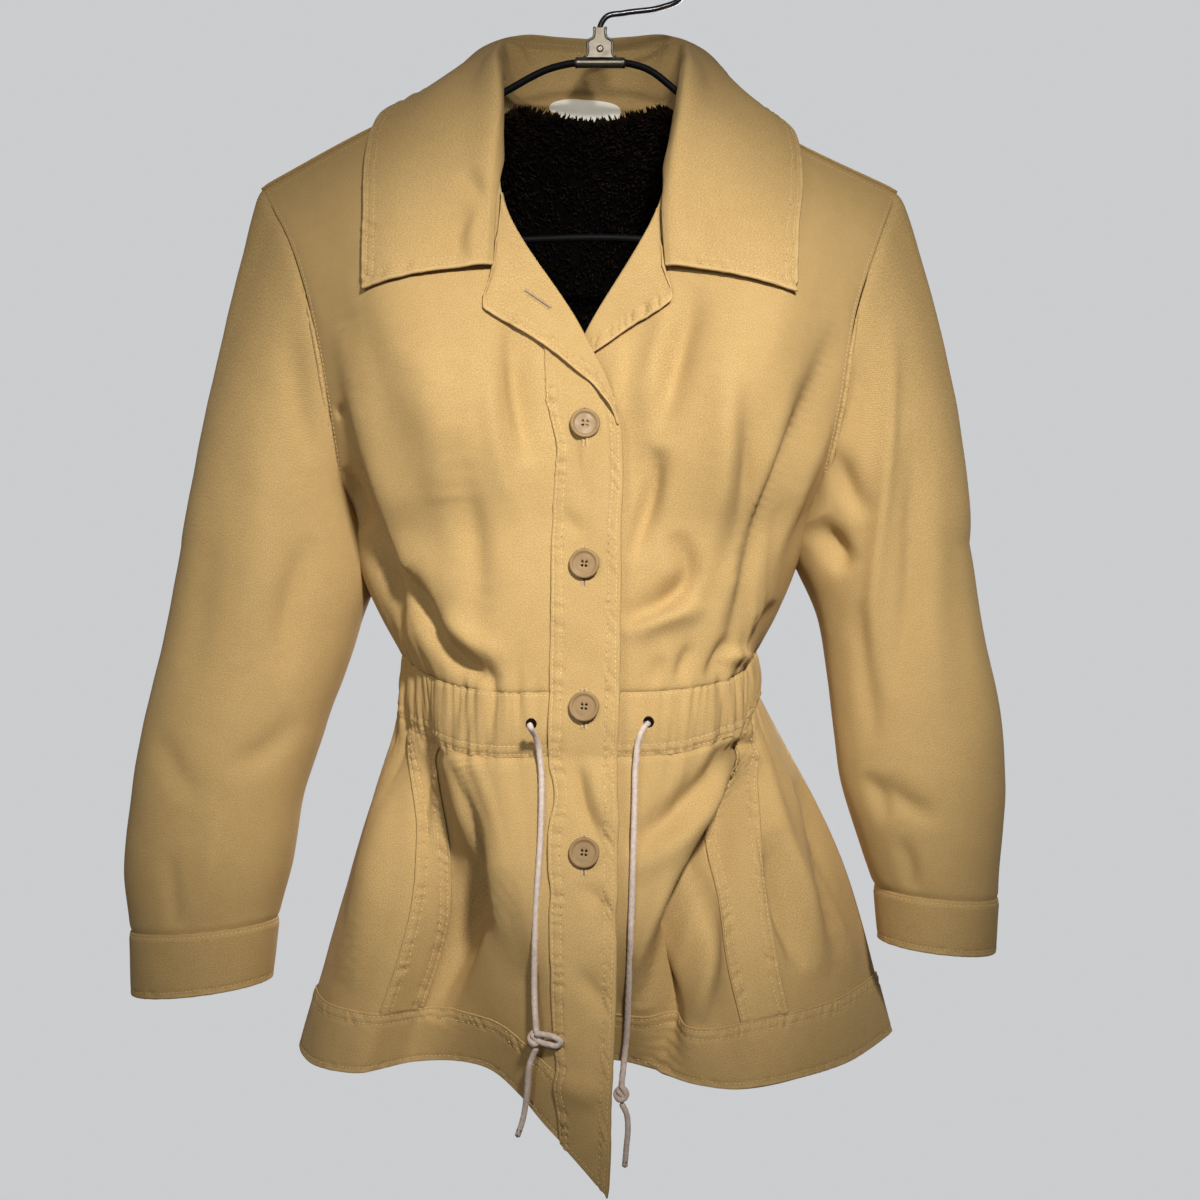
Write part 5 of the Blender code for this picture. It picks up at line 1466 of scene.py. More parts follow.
def build_front(side, grids, bodice_folds, skirt_folds, seed):
    """One front: its bodice, casing and skirt. Returns them as panels."""
    waist = GATHERS_FRONT, WAIST_FRONT
    held = "top", "last"
    bodice = fine_panel(grids[0], FRONT_SPACING, from_core, held)
    bodice.lift(
        (folds(bodice, bodice_folds) + uneven(bodice, 0.5, seed)) * held_at(bodice, held)
        + gathers(bodice, "bottom", *waist, seed, 9, 26)
        + seam(bodice, "last", 0.5) + seam(bodice, "top") + seam(bodice, "bottom", *WAIST_SEAM)
    )
    casing = fine_panel(grids[1], STRIP_SPACING, from_core, ("top", "bottom"))
    casing.lift(
        gathers(casing, "top", *waist, seed, *CASING_REACH)
        + gathers(casing, "bottom", *waist, seed + 4, *CASING_REACH)
        + seam(casing, "top", *WAIST_SEAM) + seam(casing, "bottom", *WAIST_SEAM) + seam(casing, "last")
        + puckers(casing, "bottom", SEAM_ROWS, 0.6, seed)
    )
    skirt = fine_panel(grids[2], FRONT_SPACING, from_core, ("top",))
    skirt.lift(
        (folds(skirt, skirt_folds) + uneven(skirt, 0.5, seed + 2)) * held_at(skirt, held)
        + gathers(skirt, "top", *waist, seed + 4, 10, 34)
        + seam(skirt, "last") + seam(skirt, "top", *WAIST_SEAM)
    )
    cloth(f"front_{side}", bodice)
    cloth(f"casing_{side}", casing)
    cloth(f"skirt_{side}", skirt, free=("bottom",))
    sew_rows("bodice", bodice, "top", SHOULDER_ROWS)
    sew_casing(casing)
    sew_rows("bodice", bodice, "last", ARMHOLE_ROW, 0.0, 0.72)
    return bodice, casing, skirt


def build_back():
    """The back bodice, casing and skirt. Returns the back's coarse grid and the skirt's panel."""
    coarse = back_grid()
    middle = coarse.shape[1] // 2
    settle(coarse[2:-1, middle - 3 : middle + 4].swapaxes(0, 1), 2)
    waist = GATHERS_BACK, WAIST_BACK
    held = "top", "first", "last"
    top_seed, skirt_seed = 2.6, 6.6
    bodice = fine_panel(coarse, BACK_SPACINGS[0], from_core, ("top",))
    bodice.lift(
        (folds(bodice, FOLDS_BACK, 1) + uneven(bodice, 0.5, 3.1)) * held_at(bodice, held)
        + gathers(bodice, "bottom", *waist, top_seed, 10, 30)
        + seam(bodice, "first") + seam(bodice, "last") + seam(bodice, "bottom", *WAIST_SEAM)
        + seam(bodice, "top", 0.6)
    )
    lines = BACK_LINES[::-1]
    casing = fine_panel(casing_grid(lines), BACK_SPACINGS[1], from_core, ("top", "bottom"))
    casing.lift(
        gathers(casing, "top", *waist, top_seed, *CASING_REACH)
        + gathers(casing, "bottom", *waist, skirt_seed, *CASING_REACH)
        + seam(casing, "top", *WAIST_SEAM) + seam(casing, "bottom", *WAIST_SEAM)
        + seam(casing, "first") + seam(casing, "last") + puckers(casing, "bottom", SEAM_ROWS, 0.3, 1.1)
    )
    skirt = fine_panel(skirt_grid(lines), BACK_SPACINGS[2], from_core, ("top",))
    skirt.lift(
        (folds(skirt, FOLDS_SKIRT_BACK, 1) + uneven(skirt, 0.5, 4.2)) * held_at(skirt, held)
        + gathers(skirt, "top", *waist, skirt_seed, 12, 40)
        + seam(skirt, "first") + seam(skirt, "last") + seam(skirt, "top", *WAIST_SEAM)
    )
    cloth("back", bodice)
    cloth("casing_back", casing)
    cloth("skirt_back", skirt, free=("bottom",))
    sew_casing(casing)
    return coarse, skirt


# How far the hem bands and the pocket strips stand off the skirt.
HEM_LIFT = 1.4
WELT_LIFT = 1.6


def build_hem(side, skirt, start):
    """The hem band on a skirt, from a column of its coarse grid to its end."""
    last_row, last_column = skirt.rows[-1], skirt.columns[-1]
    span = (last_row - 1, last_row), (start, last_column)
    band = strip_on(skirt, *span, STRIP_SPACING, HEM_LIFT, ("top", "bottom"))
    tucked = -0.9 * np.exp(-((band.run("first") / 16) ** 2))
    band.lift(tucked + puckers(band, "top", SEAM_ROWS, 0.6, 0.4) + puckers(band, "bottom", HEM_ROW, 0.6, 1.9))
    cloth(f"hem_{side}", band, STRIP, ("bottom",))
    sew_rows("waist", band, "top", SEAM_ROWS)
    sew_rows("waist", band, "bottom", HEM_ROW)


def build_welt(side, skirt):
    """The curved pocket strip on a skirt, between its two welt lines."""
    span = (0.02, len(SKIRT_ROWS) - 2), (PER_GAP * 4, PER_GAP * 5)
    edges = "first", "last"
    band = strip_on(skirt, *span, STRIP_SPACING, WELT_LIFT, edges)
    band.lift(
        puckers(band, "first", WELT_ROWS, 0.8, 0.9) + puckers(band, "last", WELT_ROWS, 0.8, 2.2)
        - 2.4 * np.exp(-((band.run("top") / 5) ** 2))
    )
    cloth(f"welt_{side}", band, STRIP)
    for edge in edges:
        sew_rows("waist", band, edge, WELT_ROWS)


# The button band: its width, how far the side away from the front edge goes up above the break and how that
# part leans, how far the band stands off, and the depth of its turned edge.
PLACKET_WIDTH = 43.0
PLACKET_RISE = 42.0
PLACKET_LEAN = 0.04
PLACKET_LAY = 2.0
PLACKET_ROLL = 3.6
# Points down the band on the bodice, the casing and the skirt, and the step of the part above the break.
PLACKET_POINTS = (110, 24, 150)
RISE_STEP = 2.0


def evenly(points, count):
    """A line of points and normals read at even steps of its length."""
    length = lengths(points[:, :3])
    at = np.linspace(0, length[-1], count)
    return np.stack([np.interp(at, length, points[:, k]) for k in range(points.shape[1])], axis=1)


def build_placket(bodice, casing, skirt):
    """The button band on the right front, casing and skirt, turned in at its edge. Returns its panel."""
    tree = bodice.tree()
    edge = np.array(EDGE_STOPS[:-1])
    middle = np.linspace(edge[-1], PLACKET_WIDTH - edge[-1], 13)[1:-1]
    strips = []
    for distance in np.concatenate([edge, middle, PLACKET_WIDTH - edge[::-1]]):
        on_bodice = bodice.line("first", distance)
        on_bodice = on_bodice[on_bodice[:, 2] < -BREAK_RIGHT[2]][:-1]
        start = on_bodice[0]
        rise = PLACKET_RISE * distance / PLACKET_WIDTH
        above = []
        for height in np.arange(RISE_STEP * math.floor(rise / RISE_STEP), 0, -RISE_STEP):
            found, normal = seen_at(tree, start[0] - PLACKET_LEAN * height, start[2] + height)
            above.append([*found, *facing_viewer(normal)])
        on_bodice = np.concatenate([np.array(above).reshape(-1, 6), on_bodice])
        lines = on_bodice, casing.line("first", distance), skirt.line("first", distance)
        on_bodice, on_casing, on_skirt = (evenly(line, count) for line, count in zip(lines, PLACKET_POINTS))
        strips.append(np.concatenate([on_bodice, on_casing[:-1], on_skirt]))
    both = np.stack(strips, axis=1)
    points, out = both[..., :3], unit(both[..., 3:])
    settle(points, 4)
    band = Panel(points + out * PLACKET_LAY, out)
    band.lift(
        puckers(band, "first", PLACKET_ROWS, 0.9, 0.3) + puckers(band, "last", PLACKET_ROWS, 0.9, 1.4)
        + uneven(band, 1.2, 2.4)
    )
    sew_rows("bodice", band, "first", PLACKET_ROWS, 0.01)
    sew_rows("bodice", band, "last", PLACKET_ROWS, 0.06)
    sew_rows("waist", band, "bottom", HEM_ROW)
    cloth("placket", rolled(band, PLACKET_ROLL), STRIP, ("bottom",))
    return band


# Sleeves: how deep the underarm sags and how far that reaches, the tuck of the head into the armhole along
# the sleeve and inwards, the spacing down it and the columns round it. Cuffs: columns, rows, and how far they
# stand off.
UNDERARM_SAG = 15.0
SAG_REACH = 36.0
HEAD_TUCK = 4.0
HEAD_UNDER = 2.5
SLEEVE_SPACING = 3.6
SLEEVE_COLUMNS = 120
CUFF_COLUMNS = 110
CUFF_ROWS = 8
CUFF_LIFT = 0.9


def edged(length, count):
    """Distances along a length, closer at both stitched ends, with count even places between them."""
    edge = np.array(EDGE_STOPS, float)
    middle = np.linspace(edge[-1], length - edge[-1], count)
    return np.concatenate([edge[:-1], middle, length - edge[-2::-1]])


def build_sleeve(side, armholes, sections, outward, puff, sag_drop, fold_tables, seed):
    """A sleeve as an open tube, with a puffed head and a sag under the arm."""
    rings = np.stack([armhole_ring(*armholes)] + [section_ring(s, outward) for s in sections])
    tucked = rings[0] - HEAD_TUCK * unit(rings[1] - rings[0])
    tucked += HEAD_UNDER * unit(rings[0].mean(axis=0) - rings[0])
    steps = np.linalg.norm(np.diff(rings, axis=0), axis=-1).mean(axis=1)
    length = np.concatenate([[0], np.cumsum(steps)])
    count = round((length[-1] - 2 * EDGE_STOPS[-1]) / SLEEVE_SPACING)
    where = np.interp(edged(length[-1], count), length, np.arange(len(length)))
    grid = spline(rings, where)
    swell = np.sin(np.pi * np.clip(where, 0, 1)) ** 0.6
    outer = np.cos(2 * np.pi * np.arange(RING) / RING)
    grid[..., 0] += outward * puff * swell[:, None] * np.clip(outer, 0, 1)
    inner = np.clip(-outer, 0, 1) ** 2
    sag = UNDERARM_SAG * np.exp(-(((-grid[..., 2] - sag_drop) / SAG_REACH) ** 2)) * inner
    grid[..., 0] -= outward * sag
    sleeve = tube_panel(np.concatenate([tucked[None], grid]), SLEEVE_COLUMNS)
    head = 0.5 * wavy(sleeve.lie("top")[0], 16, seed) * np.exp(-sleeve.run("top") / 14)
    front_folds, back_folds = fold_tables
    sleeve.lift(
        (folds(sleeve, front_folds) + folds(sleeve, back_folds, 1) + uneven(sleeve, 0.6, seed))
        * held_at(sleeve, ("top", "bottom"))
        + head + seam(sleeve, "top", 2.6, 7.0) + seam(sleeve, "bottom", 1.0, 3.0)
    )
    cloth(f"sleeve_{side}", sleeve)


def build_cuff(side, top, end, outward, seed):
    """A cuff as an open tube between two sections."""
    rings = np.stack([section_ring(top, outward), section_ring(end, outward)])
    length = np.linalg.norm(rings[1] - rings[0], axis=-1).mean()
    cuff = tube_panel(spline(rings, edged(length, CUFF_ROWS) / length), CUFF_COLUMNS)
    cuff.lift(
        CUFF_LIFT + puckers(cuff, "top", SEAM_ROWS[:1], 0.2, seed)
        + puckers(cuff, "bottom", HEM_ROW, 0.6, seed + 1)
        + seam(cuff, "top", 0.8, 1.6) + uneven(cuff, 0.5, seed + 3)
    )
    cloth(f"cuff_{side}", cuff, free=("bottom",))
    sew_rows("sleeves", cuff, "top", SEAM_ROWS[:1])
    sew_rows("sleeves", cuff, "bottom", HEM_ROW)


def tube_panel(grid, around):
    """A closed panel through rings of points, with more columns round it."""
    padded = np.concatenate([grid[:, -2:], grid, grid[:, :3]], axis=1)
    columns = 2 + np.arange(around) * RING / around
    points = spline(padded.swapaxes(0, 1), columns).swapaxes(0, 1)
    return Panel(points, points - points.mean(axis=1, keepdims=True), closed=True)


# Lapels: rows and columns, thickness, depth of the turned edge, height of the roll and how far it reaches.
# The right one narrows and lies down at its lower end: over what share of its length, to what share of its
# width and rise.
LAPEL_GRID = (70, 34)
LAPEL_CLOTH = 1.4
LAPEL_TURN = 4.4
LAPEL_ROLL = 1.6
LAPEL_ROLL_REACH = 9
LAPEL_CLOSING = 0.16
LAPEL_END_WIDTH = 0.3
LAPEL_END_RISE = 0.25
# The share of a lapel's edge above which there are no stitches.
STITCHES_FROM = 0.25


def build_lapel(side, edge, roll, under):
    """A front's turned-back corner, rolled over the front's own edge. Returns its panel."""
    rows, columns = (np.linspace(0, 1, count) for count in LAPEL_GRID)
    outer, inner = along(at_depth(edge), rows), along(roll, rows)
    closing = smooth((1 - rows) / LAPEL_CLOSING) if side == "right" else np.ones_like(rows)
    outer = inner + (outer - inner) * (LAPEL_END_WIDTH + (1 - LAPEL_END_WIDTH) * closing)[:, None]
    grid = inner[:, None] * (1 - columns[None, :, None]) + outer[:, None] * columns[None, :, None]
    width = np.linalg.norm(outer[:, (0, 2)] - inner[:, (0, 2)], axis=1)
    for r, c in np.ndindex(grid.shape[:2]):
        found = [front_of(tree, grid[r, c, 0], grid[r, c, 2]) for tree in under]
        base = min([y for y in found if y is not None], default=inner[r, 1])
        roll_height = LAPEL_ROLL * math.exp(-((width[r] * columns[c] / LAPEL_ROLL_REACH) ** 2))
        rise = CLOTH + LAPEL_LIFT * columns[c] + roll_height
        grid[r, c, 1] = base - LAY_GAP - rise * (LAPEL_END_RISE + (1 - LAPEL_END_RISE) * closing[r])
    settle(grid[..., 1], 10)
    settle(grid[..., 1].T, 3)
    panel = Panel(grid, np.broadcast_to((0, -1.0, 0), grid.shape))
    fade = smooth((rows[:, None] - STITCHES_FROM) / 0.1) * smooth(panel.run("first") / 8)
    panel.lift(puckers(panel, "last", LAPEL_ROWS, 1.1, 0.8) * fade)
    sew_rows("collar", panel, "last", LAPEL_ROWS, STITCHES_FROM, 0.93)
    cloth(f"lapel_{side}", rolled(panel, LAPEL_TURN), LAPEL_CLOTH, ("last",))
    return panel


# The collar: the share of its thickness that is shown, the spacing of its rows and columns, the width of the
# ridges at its two ends and their seeds. Then columns from the middle: where the edge's puckers begin, where
# its stitches begin, and where those of the standing back end.
COLLAR_SHOWN = 0.9
COLLAR_SPACING = (2.3, 1.8)
END_PUCKERS = 11
END_SEEDS = {"first": 1.5, "last": 2.5}
PUCKERS_FROM = 5.0
EDGE_STITCHES_FROM = 6.2
BACK_STITCHES_TO = 5.8


def build_collar():
    """The collar with its stitched edge, and the label at the back of the neck."""
    coarse = laid_collar()
    middle = coarse.shape[1] // 2
    sign = -1 if normals(coarse)[0, middle, 1] > 0 else 1
    rows = stops(coarse, 0, COLLAR_SPACING[0], False, True)
    columns = stops(coarse[-2:], 1, COLLAR_SPACING[1], True, True)
    points = fine(coarse, rows, columns)
    panel = Panel(points, sign * normals(points), rows, columns)
    from_middle = np.abs(columns - middle)
    ends = tuple(END_SEEDS)
    at_ends = sum(puckers(panel, end, COLLAR_ROWS, 1.1, END_SEEDS[end], END_PUCKERS) for end in ends)
    panel.lift(
        folds(panel, FOLDS_COLLAR)
        + puckers(panel, "bottom", COLLAR_ROWS, 1.0, 0.5) * smooth((from_middle - PUCKERS_FROM) / 2.5)
        * held_at(panel, ends, 12)
        + at_ends * smooth(panel.run("top") / 20)
        + uneven(panel, 0.4, 1.2) * held_at(panel, ("top",), 20)
    )
    cloth("collar", panel, COLLAR_CLOTH * COLLAR_SHOWN, ("bottom", *ends))
    for distance in COLLAR_ROWS:
        edge = panel.line("bottom", distance)
        sew("collar", edge[columns < middle - EDGE_STITCHES_FROM], 0.02)
        sew("collar", edge[columns > middle + EDGE_STITCHES_FROM], 0.0, 0.98)
        for side in ends:
            sew("collar", panel.line(side, distance), 0.25, 0.97)
    sew("collar", panel.line("bottom", COLLAR_BACK_ROW)[from_middle < BACK_STITCHES_TO])
    build_label(panel, middle)


# The label: rows up its arch and columns across, the share of a half turn that the arch makes, its thickness.
LABEL_GRID = (16, 40)
LABEL_TURN = 0.44
LABEL_CLOTH = 0.6


def build_label(collar, middle):
    """The bare label, an arch on the inside of the collar that goes down behind the pile."""
    rows, columns = LABEL_GRID
    turn = np.linspace(0, LABEL_TURN * math.pi, rows)
    rise = LABEL_RISE * np.sin(turn)
    half = LABEL_HALF * np.cos(turn)
    at = middle + LABEL_SHIFT + half[:, None] * np.linspace(-1, 1, columns)
    spots, out = collar.at(rise[:, None] + np.zeros(columns), at)
    spots = np.concatenate([spots[:1] - (0, 0, LABEL_TUCK), spots])
    out = np.concatenate([out[:1], out])
    label = Panel(spots + out * (LAY_GAP + 0.7), out)
    label.lift(uneven(label, 0.25, 5.0))
    shell("label_tape", label, LABEL_CLOTH, "label_weave", "label_cloth", "label", rests_on=("cloth_collar",))


# The pile: spacing and thickness of its base cloth, the number of tufts and the share on its top edge. A tuft
# has two rings of three points, at these angles, and a tip.
PILE_SPACING = 6.0
PILE_CLOTH = 1.4
TUFTS = 15000
TUFTS_ON_TOP = 0.08
TUFT_ANGLES = (0.3, 2.4, 4.5)
TUFT_FACES = np.array([
    (0, 1, 4), (0, 4, 3), (1, 2, 5), (1, 5, 4), (2, 0, 3), (2, 3, 5), (3, 4, 6), (4, 5, 6), (5, 3, 6),
])


def build_pile(back):
    """The pile inside the back: a thin base cloth, and tufts that stand on it."""
    rows, columns = back.shape[:2]
    gap = np.interp(np.arange(rows), (0, 3, 6), (LINING_GAP_AT_NECK, LINING_GAP_AT_NECK, LINING_GAP))
    inner = shift(back, to_core(back), CAD_CLOTH + gap[:, None, None])
    first = np.interp(np.abs(np.linspace(-1, 1, columns)), *np.array(LINING_TOP).T)
    second = np.maximum(first + 0.5, 1)
    lower = np.arange(2, rows - 1)[:, None] + np.zeros(columns)
    where = np.concatenate([first[None], second[None], lower])
    coarse = np.stack([spline(inner[:, c], where[:, c]) for c in range(2, columns - 2)], axis=1)
    panel = fine_panel(coarse, PILE_SPACING, to_core)
    low_down = smooth(panel.run("top") / panel.run("top").max() * 2 - 0.8)
    panel.lift(1.6 + np.maximum(0, -folds(panel, FOLDS_BACK)) * 1.25 + 4.0 * low_down)
    look = "dark_pile_base", "dark_pile"
    shell("pile_base", panel, PILE_CLOTH, *look, "lining_back", rests_on=("cloth_back",))
    build_tufts(panel)


def build_tufts(panel):
    """Short bent tufts all over a panel, more of them towards its top, and upright ones on its top edge."""
    chance = np.random.default_rng(11)
    row = chance.random(TUFTS) ** 1.5 * panel.rows[-1]
    column = chance.random(TUFTS) * panel.columns[-1]
    on_top = chance.random(TUFTS) < TUFTS_ON_TOP
    row = np.where(on_top, 0.02 * row, row)
    root, out = panel.at(row, column)
    fall = np.where(on_top, 2.2, -0.45)[:, None] * (0, 0, 1.0)
    lean = chance.normal(size=(TUFTS, 3)) * (0.55, 0.3, 0.55) + fall
    length = chance.uniform(3.0, 5.2, TUFTS)[:, None] + 1.5 * on_top[:, None]
    width = chance.uniform(0.7, 1.2, TUFTS)[:, None]
    side = unit(np.cross(out, chance.normal(size=(TUFTS, 3))))
    other = np.cross(out, side)
    ring = [math.cos(a) * side + math.sin(a) * other for a in TUFT_ANGLES]
    knee = root + unit(out + 0.4 * lean) * length * 0.6
    low = [root - out * 0.4 + width * way for way in ring]
    high = [knee + width * 0.75 * way for way in ring]
    tip = knee + unit(out + lean) * length * 0.4
    points = np.stack(low + high + [tip], axis=1)
    faces = (TUFT_FACES[None] + points.shape[1] * np.arange(TUFTS)[:, None, None]).reshape(-1, 3)
    finish("pile_tufts", points.reshape(-1, 3), faces, "dark_pile_tufts", "dark_pile")


def node_frame(name):
    """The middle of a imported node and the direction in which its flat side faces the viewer."""
    points = np.array([v.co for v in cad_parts[name].data.vertices], float) / MM
    middle = (points.min(axis=0) + points.max(axis=0)) / 2
    return middle, facing_viewer(np.linalg.svd(points - points.mean(axis=0))[2][2])


# A button's section runs round the rim, as distance in from the rim and height, and then over the dish, as
# radius and height. Its holes lie on a circle, at angles in degrees.
BUTTON_RADIUS = 9.75
BUTTON_RIM = (
    (2.2, 0), (0.9, 0.5), (0.15, 1.4), (0, 2.2), (0.35, 2.9), (1.0, 3.2), (1.8, 3.05), (2.5, 2.45),
    (3.1, 2.15), (3.6, 2.2),
)
BUTTON_DISH = ((3.4, 2.12), (1.4, 2.05), (0.01, 2.04))
BUTTON_SEAT = 1.7
BUTTON_COUNT = 4
HOLE_CIRCLE = 1.75
HOLE_RADIUS = 0.8
HOLE_ANGLES = (40, 130, 220, 310)
# Buttonholes: half of the width between the two rows, pitch, length and radius of the stitches, and the
# radius of the dark tube that is painted shade in the slit.
BUTTONHOLE_HALF = 1.25
BUTTONHOLE_PITCH = 0.75
BUTTONHOLE_STITCH = (2.1, 0.42)
SLIT_SHADE_RADIUS = 0.28


def build_buttons(band):
    """Dished buttons with four holes, each in front of its upright buttonhole."""
    rim = [(BUTTON_RADIUS - off, height) for off, height in BUTTON_RIM]
    profile = [(0.01, 0), *rim, *BUTTON_DISH]
    tree = band.tree()
    look = "tan_button_resin", "tan_button"
    for k in range(1, BUTTON_COUNT + 1):
        name = f"button_{k}"
        middle, facing = node_frame(name)
        turn = np.array(Vector(facing).to_track_quat("Z", "Y").to_matrix())
        at = middle - facing * BUTTON_SEAT
        made = turned(f"tan_{name}", profile, 64, at, facing, *look, name)
        made.data.set_sharp_from_angle(angle=math.radians(50))
        rods = []
        for a in np.radians(HOLE_ANGLES):
            start = at + turn @ np.array((HOLE_CIRCLE * math.cos(a), HOLE_CIRCLE * math.sin(a), -2.0))
            route = [start, start + facing * 3, start + facing * 7]
            rods.append(tube("cut_hole", route, HOLE_RADIUS, 16, *look))
        for rod in rods:
            settled(made, rod)
        buttonhole(middle[0], middle[2] - 2.0, 0.0, 26.0, tree)


def buttonhole(x, z, slant, length, tree):
    """A stitched buttonhole about a place, seen from the front, at a slant from upright."""
    way = np.array((math.sin(slant), 0, -math.cos(slant)))
    side = np.array((math.cos(slant), 0, math.sin(slant)))
    spots = []
    for edge in (-1, 1):
        for s in np.arange(-length / 2, length / 2, BUTTONHOLE_PITCH):
            p = np.array((x, 0, z)) + way * s + side * edge * BUTTONHOLE_HALF
            found = seen_at(tree, p[0], p[2])[0]
            if found is not None:
                spots.append(np.array(found) + np.array((0, -0.15, 0)))
    spots = np.array(spots)
    ways, ups = (np.broadcast_to(v, spots.shape) for v in (side, np.array((0, -1.0, 0))))
    thread("buttonholes", spots, ways, ups, *BUTTONHOLE_STITCH)
    slit = spots[: len(spots) // 2] + side * BUTTONHOLE_HALF
    # The slit is a thin dark tube between the two rows: painted shade where the cut is, with no gap made.
    tube("buttonhole_slit", slit[1:-1], SLIT_SHADE_RADIUS, 8, "dark_tip", "tan_twill")


def build_eyelets(casings):
    """The dark-rimmed holes that the drawstring leaves the casing by."""
    for side, panel, (x, drop) in zip(("right", "left"), casings, (CORD_RIGHT[0], CORD_LEFT[0])):
        found, normal = seen_at(panel.tree(), x, -drop)
        middle, normal = np.array(found), facing_viewer(np.array(normal))
        route = [middle + normal * 6, middle, middle - normal * 6]
        cutter = tube("cut_eyelet", route, EYELET_RADIUS, 24, "black_coated_tube", "tan_twill")
        settled(bpy.data.objects[f"cloth_casing_{side}"], cutter)
        side_way = unit(np.cross(normal, (0, 0, 1.0)))
        up_way = np.cross(side_way, normal)
        angles = np.linspace(0, 2 * math.pi, 40, endpoint=False)
        ways = np.cos(angles)[:, None] * side_way + np.sin(angles)[:, None] * up_way
        rim = middle + ways * (EYELET_RADIUS + 0.15) - normal * 0.2
        tube(f"eyelet_rim_{side}", rim, 0.5, 10, "black_coated_tube", "black_tube", closed=True)


# The hanger's wires: points round them, the step along the frame, and points along the hook.
WIRE_SIDES = 20
FRAME_STEP = 2.6
HOOK_POINTS = 140


def build_hanger():
    """The frame's bent tube, the hook's wire, the folded clip that joins them and its rivet."""
    line = at_depth(HANGER_LINE, HANGER_Y)
    padded = np.concatenate([line[-3:], line, line[:4]])
    dense = spline(padded, 3 + np.linspace(0, len(line), 60 * len(line), endpoint=False))
    length = lengths(np.concatenate([dense, dense[:1]]))
    at = np.arange(0, length[-1], FRAME_STEP)
    route = np.stack([np.interp(at, length[:-1], dense[:, k]) for k in range(3)], axis=1)
    black = "black_coated_tube", "black_tube"
    tube("hanger_tube", route, HANGER_WIRE / 2, WIRE_SIDES, *black, "hanger_frame", closed=True)
    hook = along(at_depth(HOOK_LINE, HANGER_Y), np.linspace(0, 1, HOOK_POINTS))
    tube("hanger_wire_hook", hook, HOOK_WIRE / 2, WIRE_SIDES, "black_chrome", "dark_chrome", "hanger_hook")
    build_clip()


# The clip: half the thickness of a plate, how far its middle lies inside the clip's depth, the width of its
# rounding, how far the curled edge lies in from the front, and the foot's half width, drop, radius and beads.
PLATE_HALF = 0.7
PLATE_INSET = 0.9
PLATE_ROUND = 0.45
CURL_INSET = 0.2
FOOT_HALF = 17
FOOT_DROP = 95
FOOT_RADIUS = 3.55
FOOT_BEAD = 0.25
# The rivet's section: radius, height.
RIVET = ((0.01, 0), (2.5, 0), (2.5, 0.35), (2.1, 0.75), (1.5, 0.95), (0.9, 0.9), (0.01, 0.85))


def build_clip():
    """The clip: two pressed plates with rounded edges, folded round the frame at their foot."""
    nickel = "satin_nickel", "nickel"
    outline = [(-w, drop) for w, drop in CLIP_HALF] + [(w, drop) for w, drop in CLIP_HALF[::-1]]
    count = len(outline)
    for label, y_sign, nodes in (("front", -1, ["hanger_clip"]), ("back", 1, [])):
        y = HANGER_Y + y_sign * (CLIP_DEPTH / 2 - PLATE_INSET)
        points = [(x, y + d, -drop) for d in (-PLATE_HALF, PLATE_HALF) for x, drop in outline]
        faces = [tuple(range(count)), tuple(range(2 * count - 1, count - 1, -1))]
        faces += [(k, k + count, (k + 1) % count + count, (k + 1) % count) for k in range(count)]
        plate = finish(f"hanger_clip_{label}", points, faces, *nickel, *nodes)
        bevel = plate.modifiers.new("round", "BEVEL")
        bevel.width = PLATE_ROUND * MM
        bevel.segments = 3
        plate.data.set_sharp_from_angle(angle=math.radians(40))
    front_y = HANGER_Y - CLIP_DEPTH / 2 + CURL_INSET
    for side in (-1, 1):
        curl = at_depth([(side * w, drop) for w, drop in CLIP_HALF[:-1]], front_y)
        tube(f"hanger_clip_curl_{side}", along(curl, np.linspace(0, 1, 40)), 0.9, 12, *nickel)
    shares = np.linspace(0, 1, 24)
    foot = at_depth([(x, FOOT_DROP) for x in np.linspace(-FOOT_HALF, FOOT_HALF, 24)], HANGER_Y)
    radius = FOOT_RADIUS + FOOT_BEAD * (np.abs(shares - 0.5) > 0.46)
    tube("hanger_clip_sleeve", foot, radius[:, None] + np.zeros(28), 28, *nickel)
    neck = at_depth([(0, drop) for drop in np.linspace(70.5, 80, 12)], HANGER_Y)
    tube("hanger_clip_neck", neck, 3.0, 24, *nickel)
    turned("hanger_rivet_head", RIVET, 32, (0, front_y, -RIVET_DROP), (0, -1, 0), *nickel, "hanger_rivet")


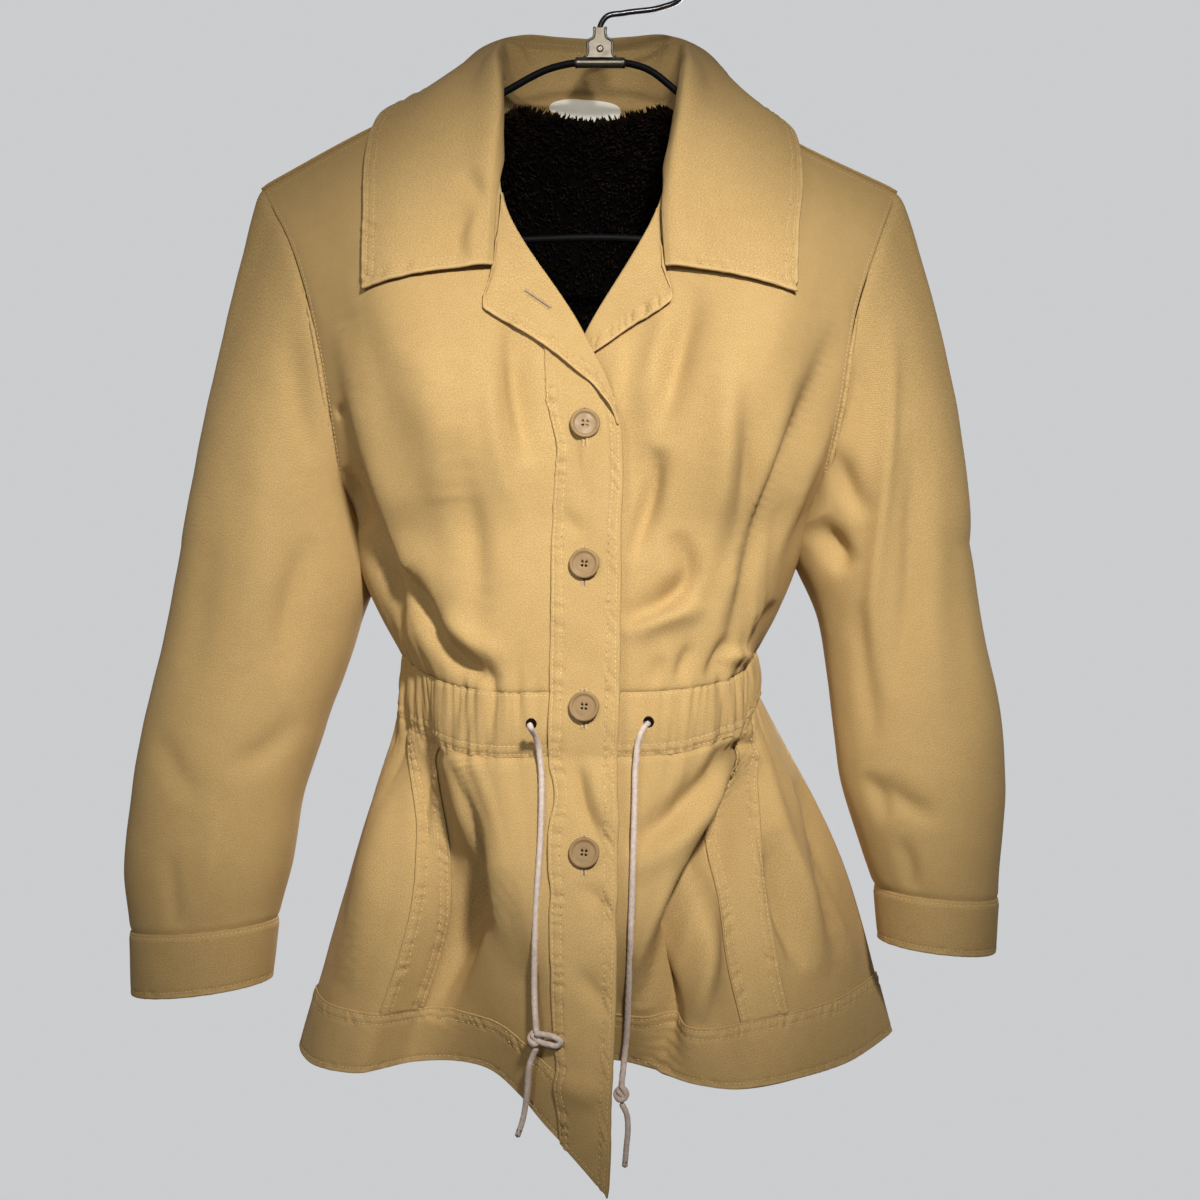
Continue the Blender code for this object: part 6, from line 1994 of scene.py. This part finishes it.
def set_stage():
    """A pale floor below, a pale surround that is brighter behind the coat, and soft light from the front."""
    scene = bpy.context.scene
    mesh = bpy.data.meshes.new("floor")
    angles = 2 * math.pi * np.arange(FLOOR_SIDES) / FLOOR_SIDES
    border = [(FLOOR_RADIUS * math.cos(a), FLOOR_RADIUS * math.sin(a), FLOOR_Z) for a in angles]
    mesh.from_pydata(border, [], [tuple(range(FLOOR_SIDES))])
    floor = bpy.data.objects.new("floor", mesh)
    scene.collection.objects.link(floor)
    mesh.materials.append(looks["pale_floor"])
    world = bpy.data.worlds.new("surround")
    world.use_nodes = True
    nodes, links = world.node_tree.nodes, world.node_tree.links
    parts = nodes.new("ShaderNodeSeparateXYZ")
    links.new(nodes.new("ShaderNodeTexCoord").outputs["Generated"], parts.inputs["Vector"])
    level = nodes.new("ShaderNodeMapRange")
    level.interpolation_type = "SMOOTHSTEP"
    for key, value in SURROUND.items():
        level.inputs[key].default_value = value
    links.new(parts.outputs["Y"], level.inputs["Value"])
    links.new(level.outputs["Result"], nodes["Background"].inputs["Strength"])
    nodes["Background"].inputs["Color"].default_value = SURROUND_COLOUR
    scene.world = world
    for name, at, aim, radius, beam, power in LAMPS:
        data = bpy.data.lights.new(name, "SPOT")
        data.shadow_soft_size = radius
        data.spot_size = math.radians(beam)
        data.spot_blend = 1.0
        data.energy = power
        lamp = bpy.data.objects.new(name, data)
        lamp.location = at
        lamp.rotation_euler = (Vector(aim) - Vector(at)).to_track_quat("-Z", "Y").to_euler()
        scene.collection.objects.link(lamp)
    scene.view_settings.view_transform = "Standard"


# Sleeves. Columns: side, armhole front and back, sections, end of the cuff, way out, puff of the head, drop
# of the underarm's sag, folds in front and behind, seed of the unevenness.
SLEEVES = (
    ("right", (ARMHOLE_FRONT_RIGHT, ARMHOLE_BACK_RIGHT), SLEEVE_RIGHT, CUFF_END_RIGHT, -1, HEAD_PUFF_RIGHT,
     440, (FOLDS_SLEEVE_RIGHT, FOLDS_SLEEVE_RIGHT_BACK), 0.4),
    ("left", (ARMHOLE_FRONT_LEFT, ARMHOLE_BACK_LEFT), SLEEVE_LEFT, CUFF_END_LEFT, 1, HEAD_PUFF_LEFT,
     428, (FOLDS_SLEEVE_LEFT, FOLDS_SLEEVE_LEFT_BACK), 2.3),
)
# The column of a front's skirt at which its hem band starts, and the buttonhole in the right lapel: x, z,
# slant from upright, length.
HEM_START = PER_GAP - 0.6
LAPEL_BUTTONHOLE = (-41, -273, math.radians(55), 22.0)


def main():
    set_camera()
    looks["tan_twill_cloth"] = twill("tan_twill_cloth")
    for name, *values in GRAINED:
        looks[name] = grained(name, *values)
    build_cords()
    right = build_front("right", right_front(), FOLDS_FRONT_RIGHT, FOLDS_SKIRT_RIGHT, 0.7)
    left = build_front("left", left_front(), FOLDS_FRONT_LEFT, FOLDS_SKIRT_LEFT, 1.9)
    back, skirt_back = build_back()
    build_hem("right", right[2], HEM_START)
    build_hem("left", left[2], HEM_START)
    build_hem("back", skirt_back, 0)
    build_welt("right", right[2])
    build_welt("left", left[2])
    band = build_placket(*right)
    for side, armholes, sections, cuff_end, outward, puff, sag_drop, fold_tables, seed in SLEEVES:
        build_sleeve(side, armholes, sections, outward, puff, sag_drop, fold_tables, seed)
        build_cuff(side, sections[-1], cuff_end, outward, seed)
    right_roll, left_roll = roll_line(EDGE_RIGHT, TURNED_RIGHT), roll_line(EDGE_LEFT, TURNED_LEFT)
    lapel = build_lapel("right", LAPEL_EDGE_RIGHT, right_roll, [right[0].tree(), band.tree()])
    build_lapel("left", LAPEL_EDGE_LEFT, left_roll, [left[0].tree()])
    buttonhole(*LAPEL_BUTTONHOLE, lapel.tree())
    build_collar()
    build_pile(back)
    build_buttons(band)
    build_eyelets((right[1], left[1]))
    build_hanger()
    build_stitching()
    set_stage()


main()
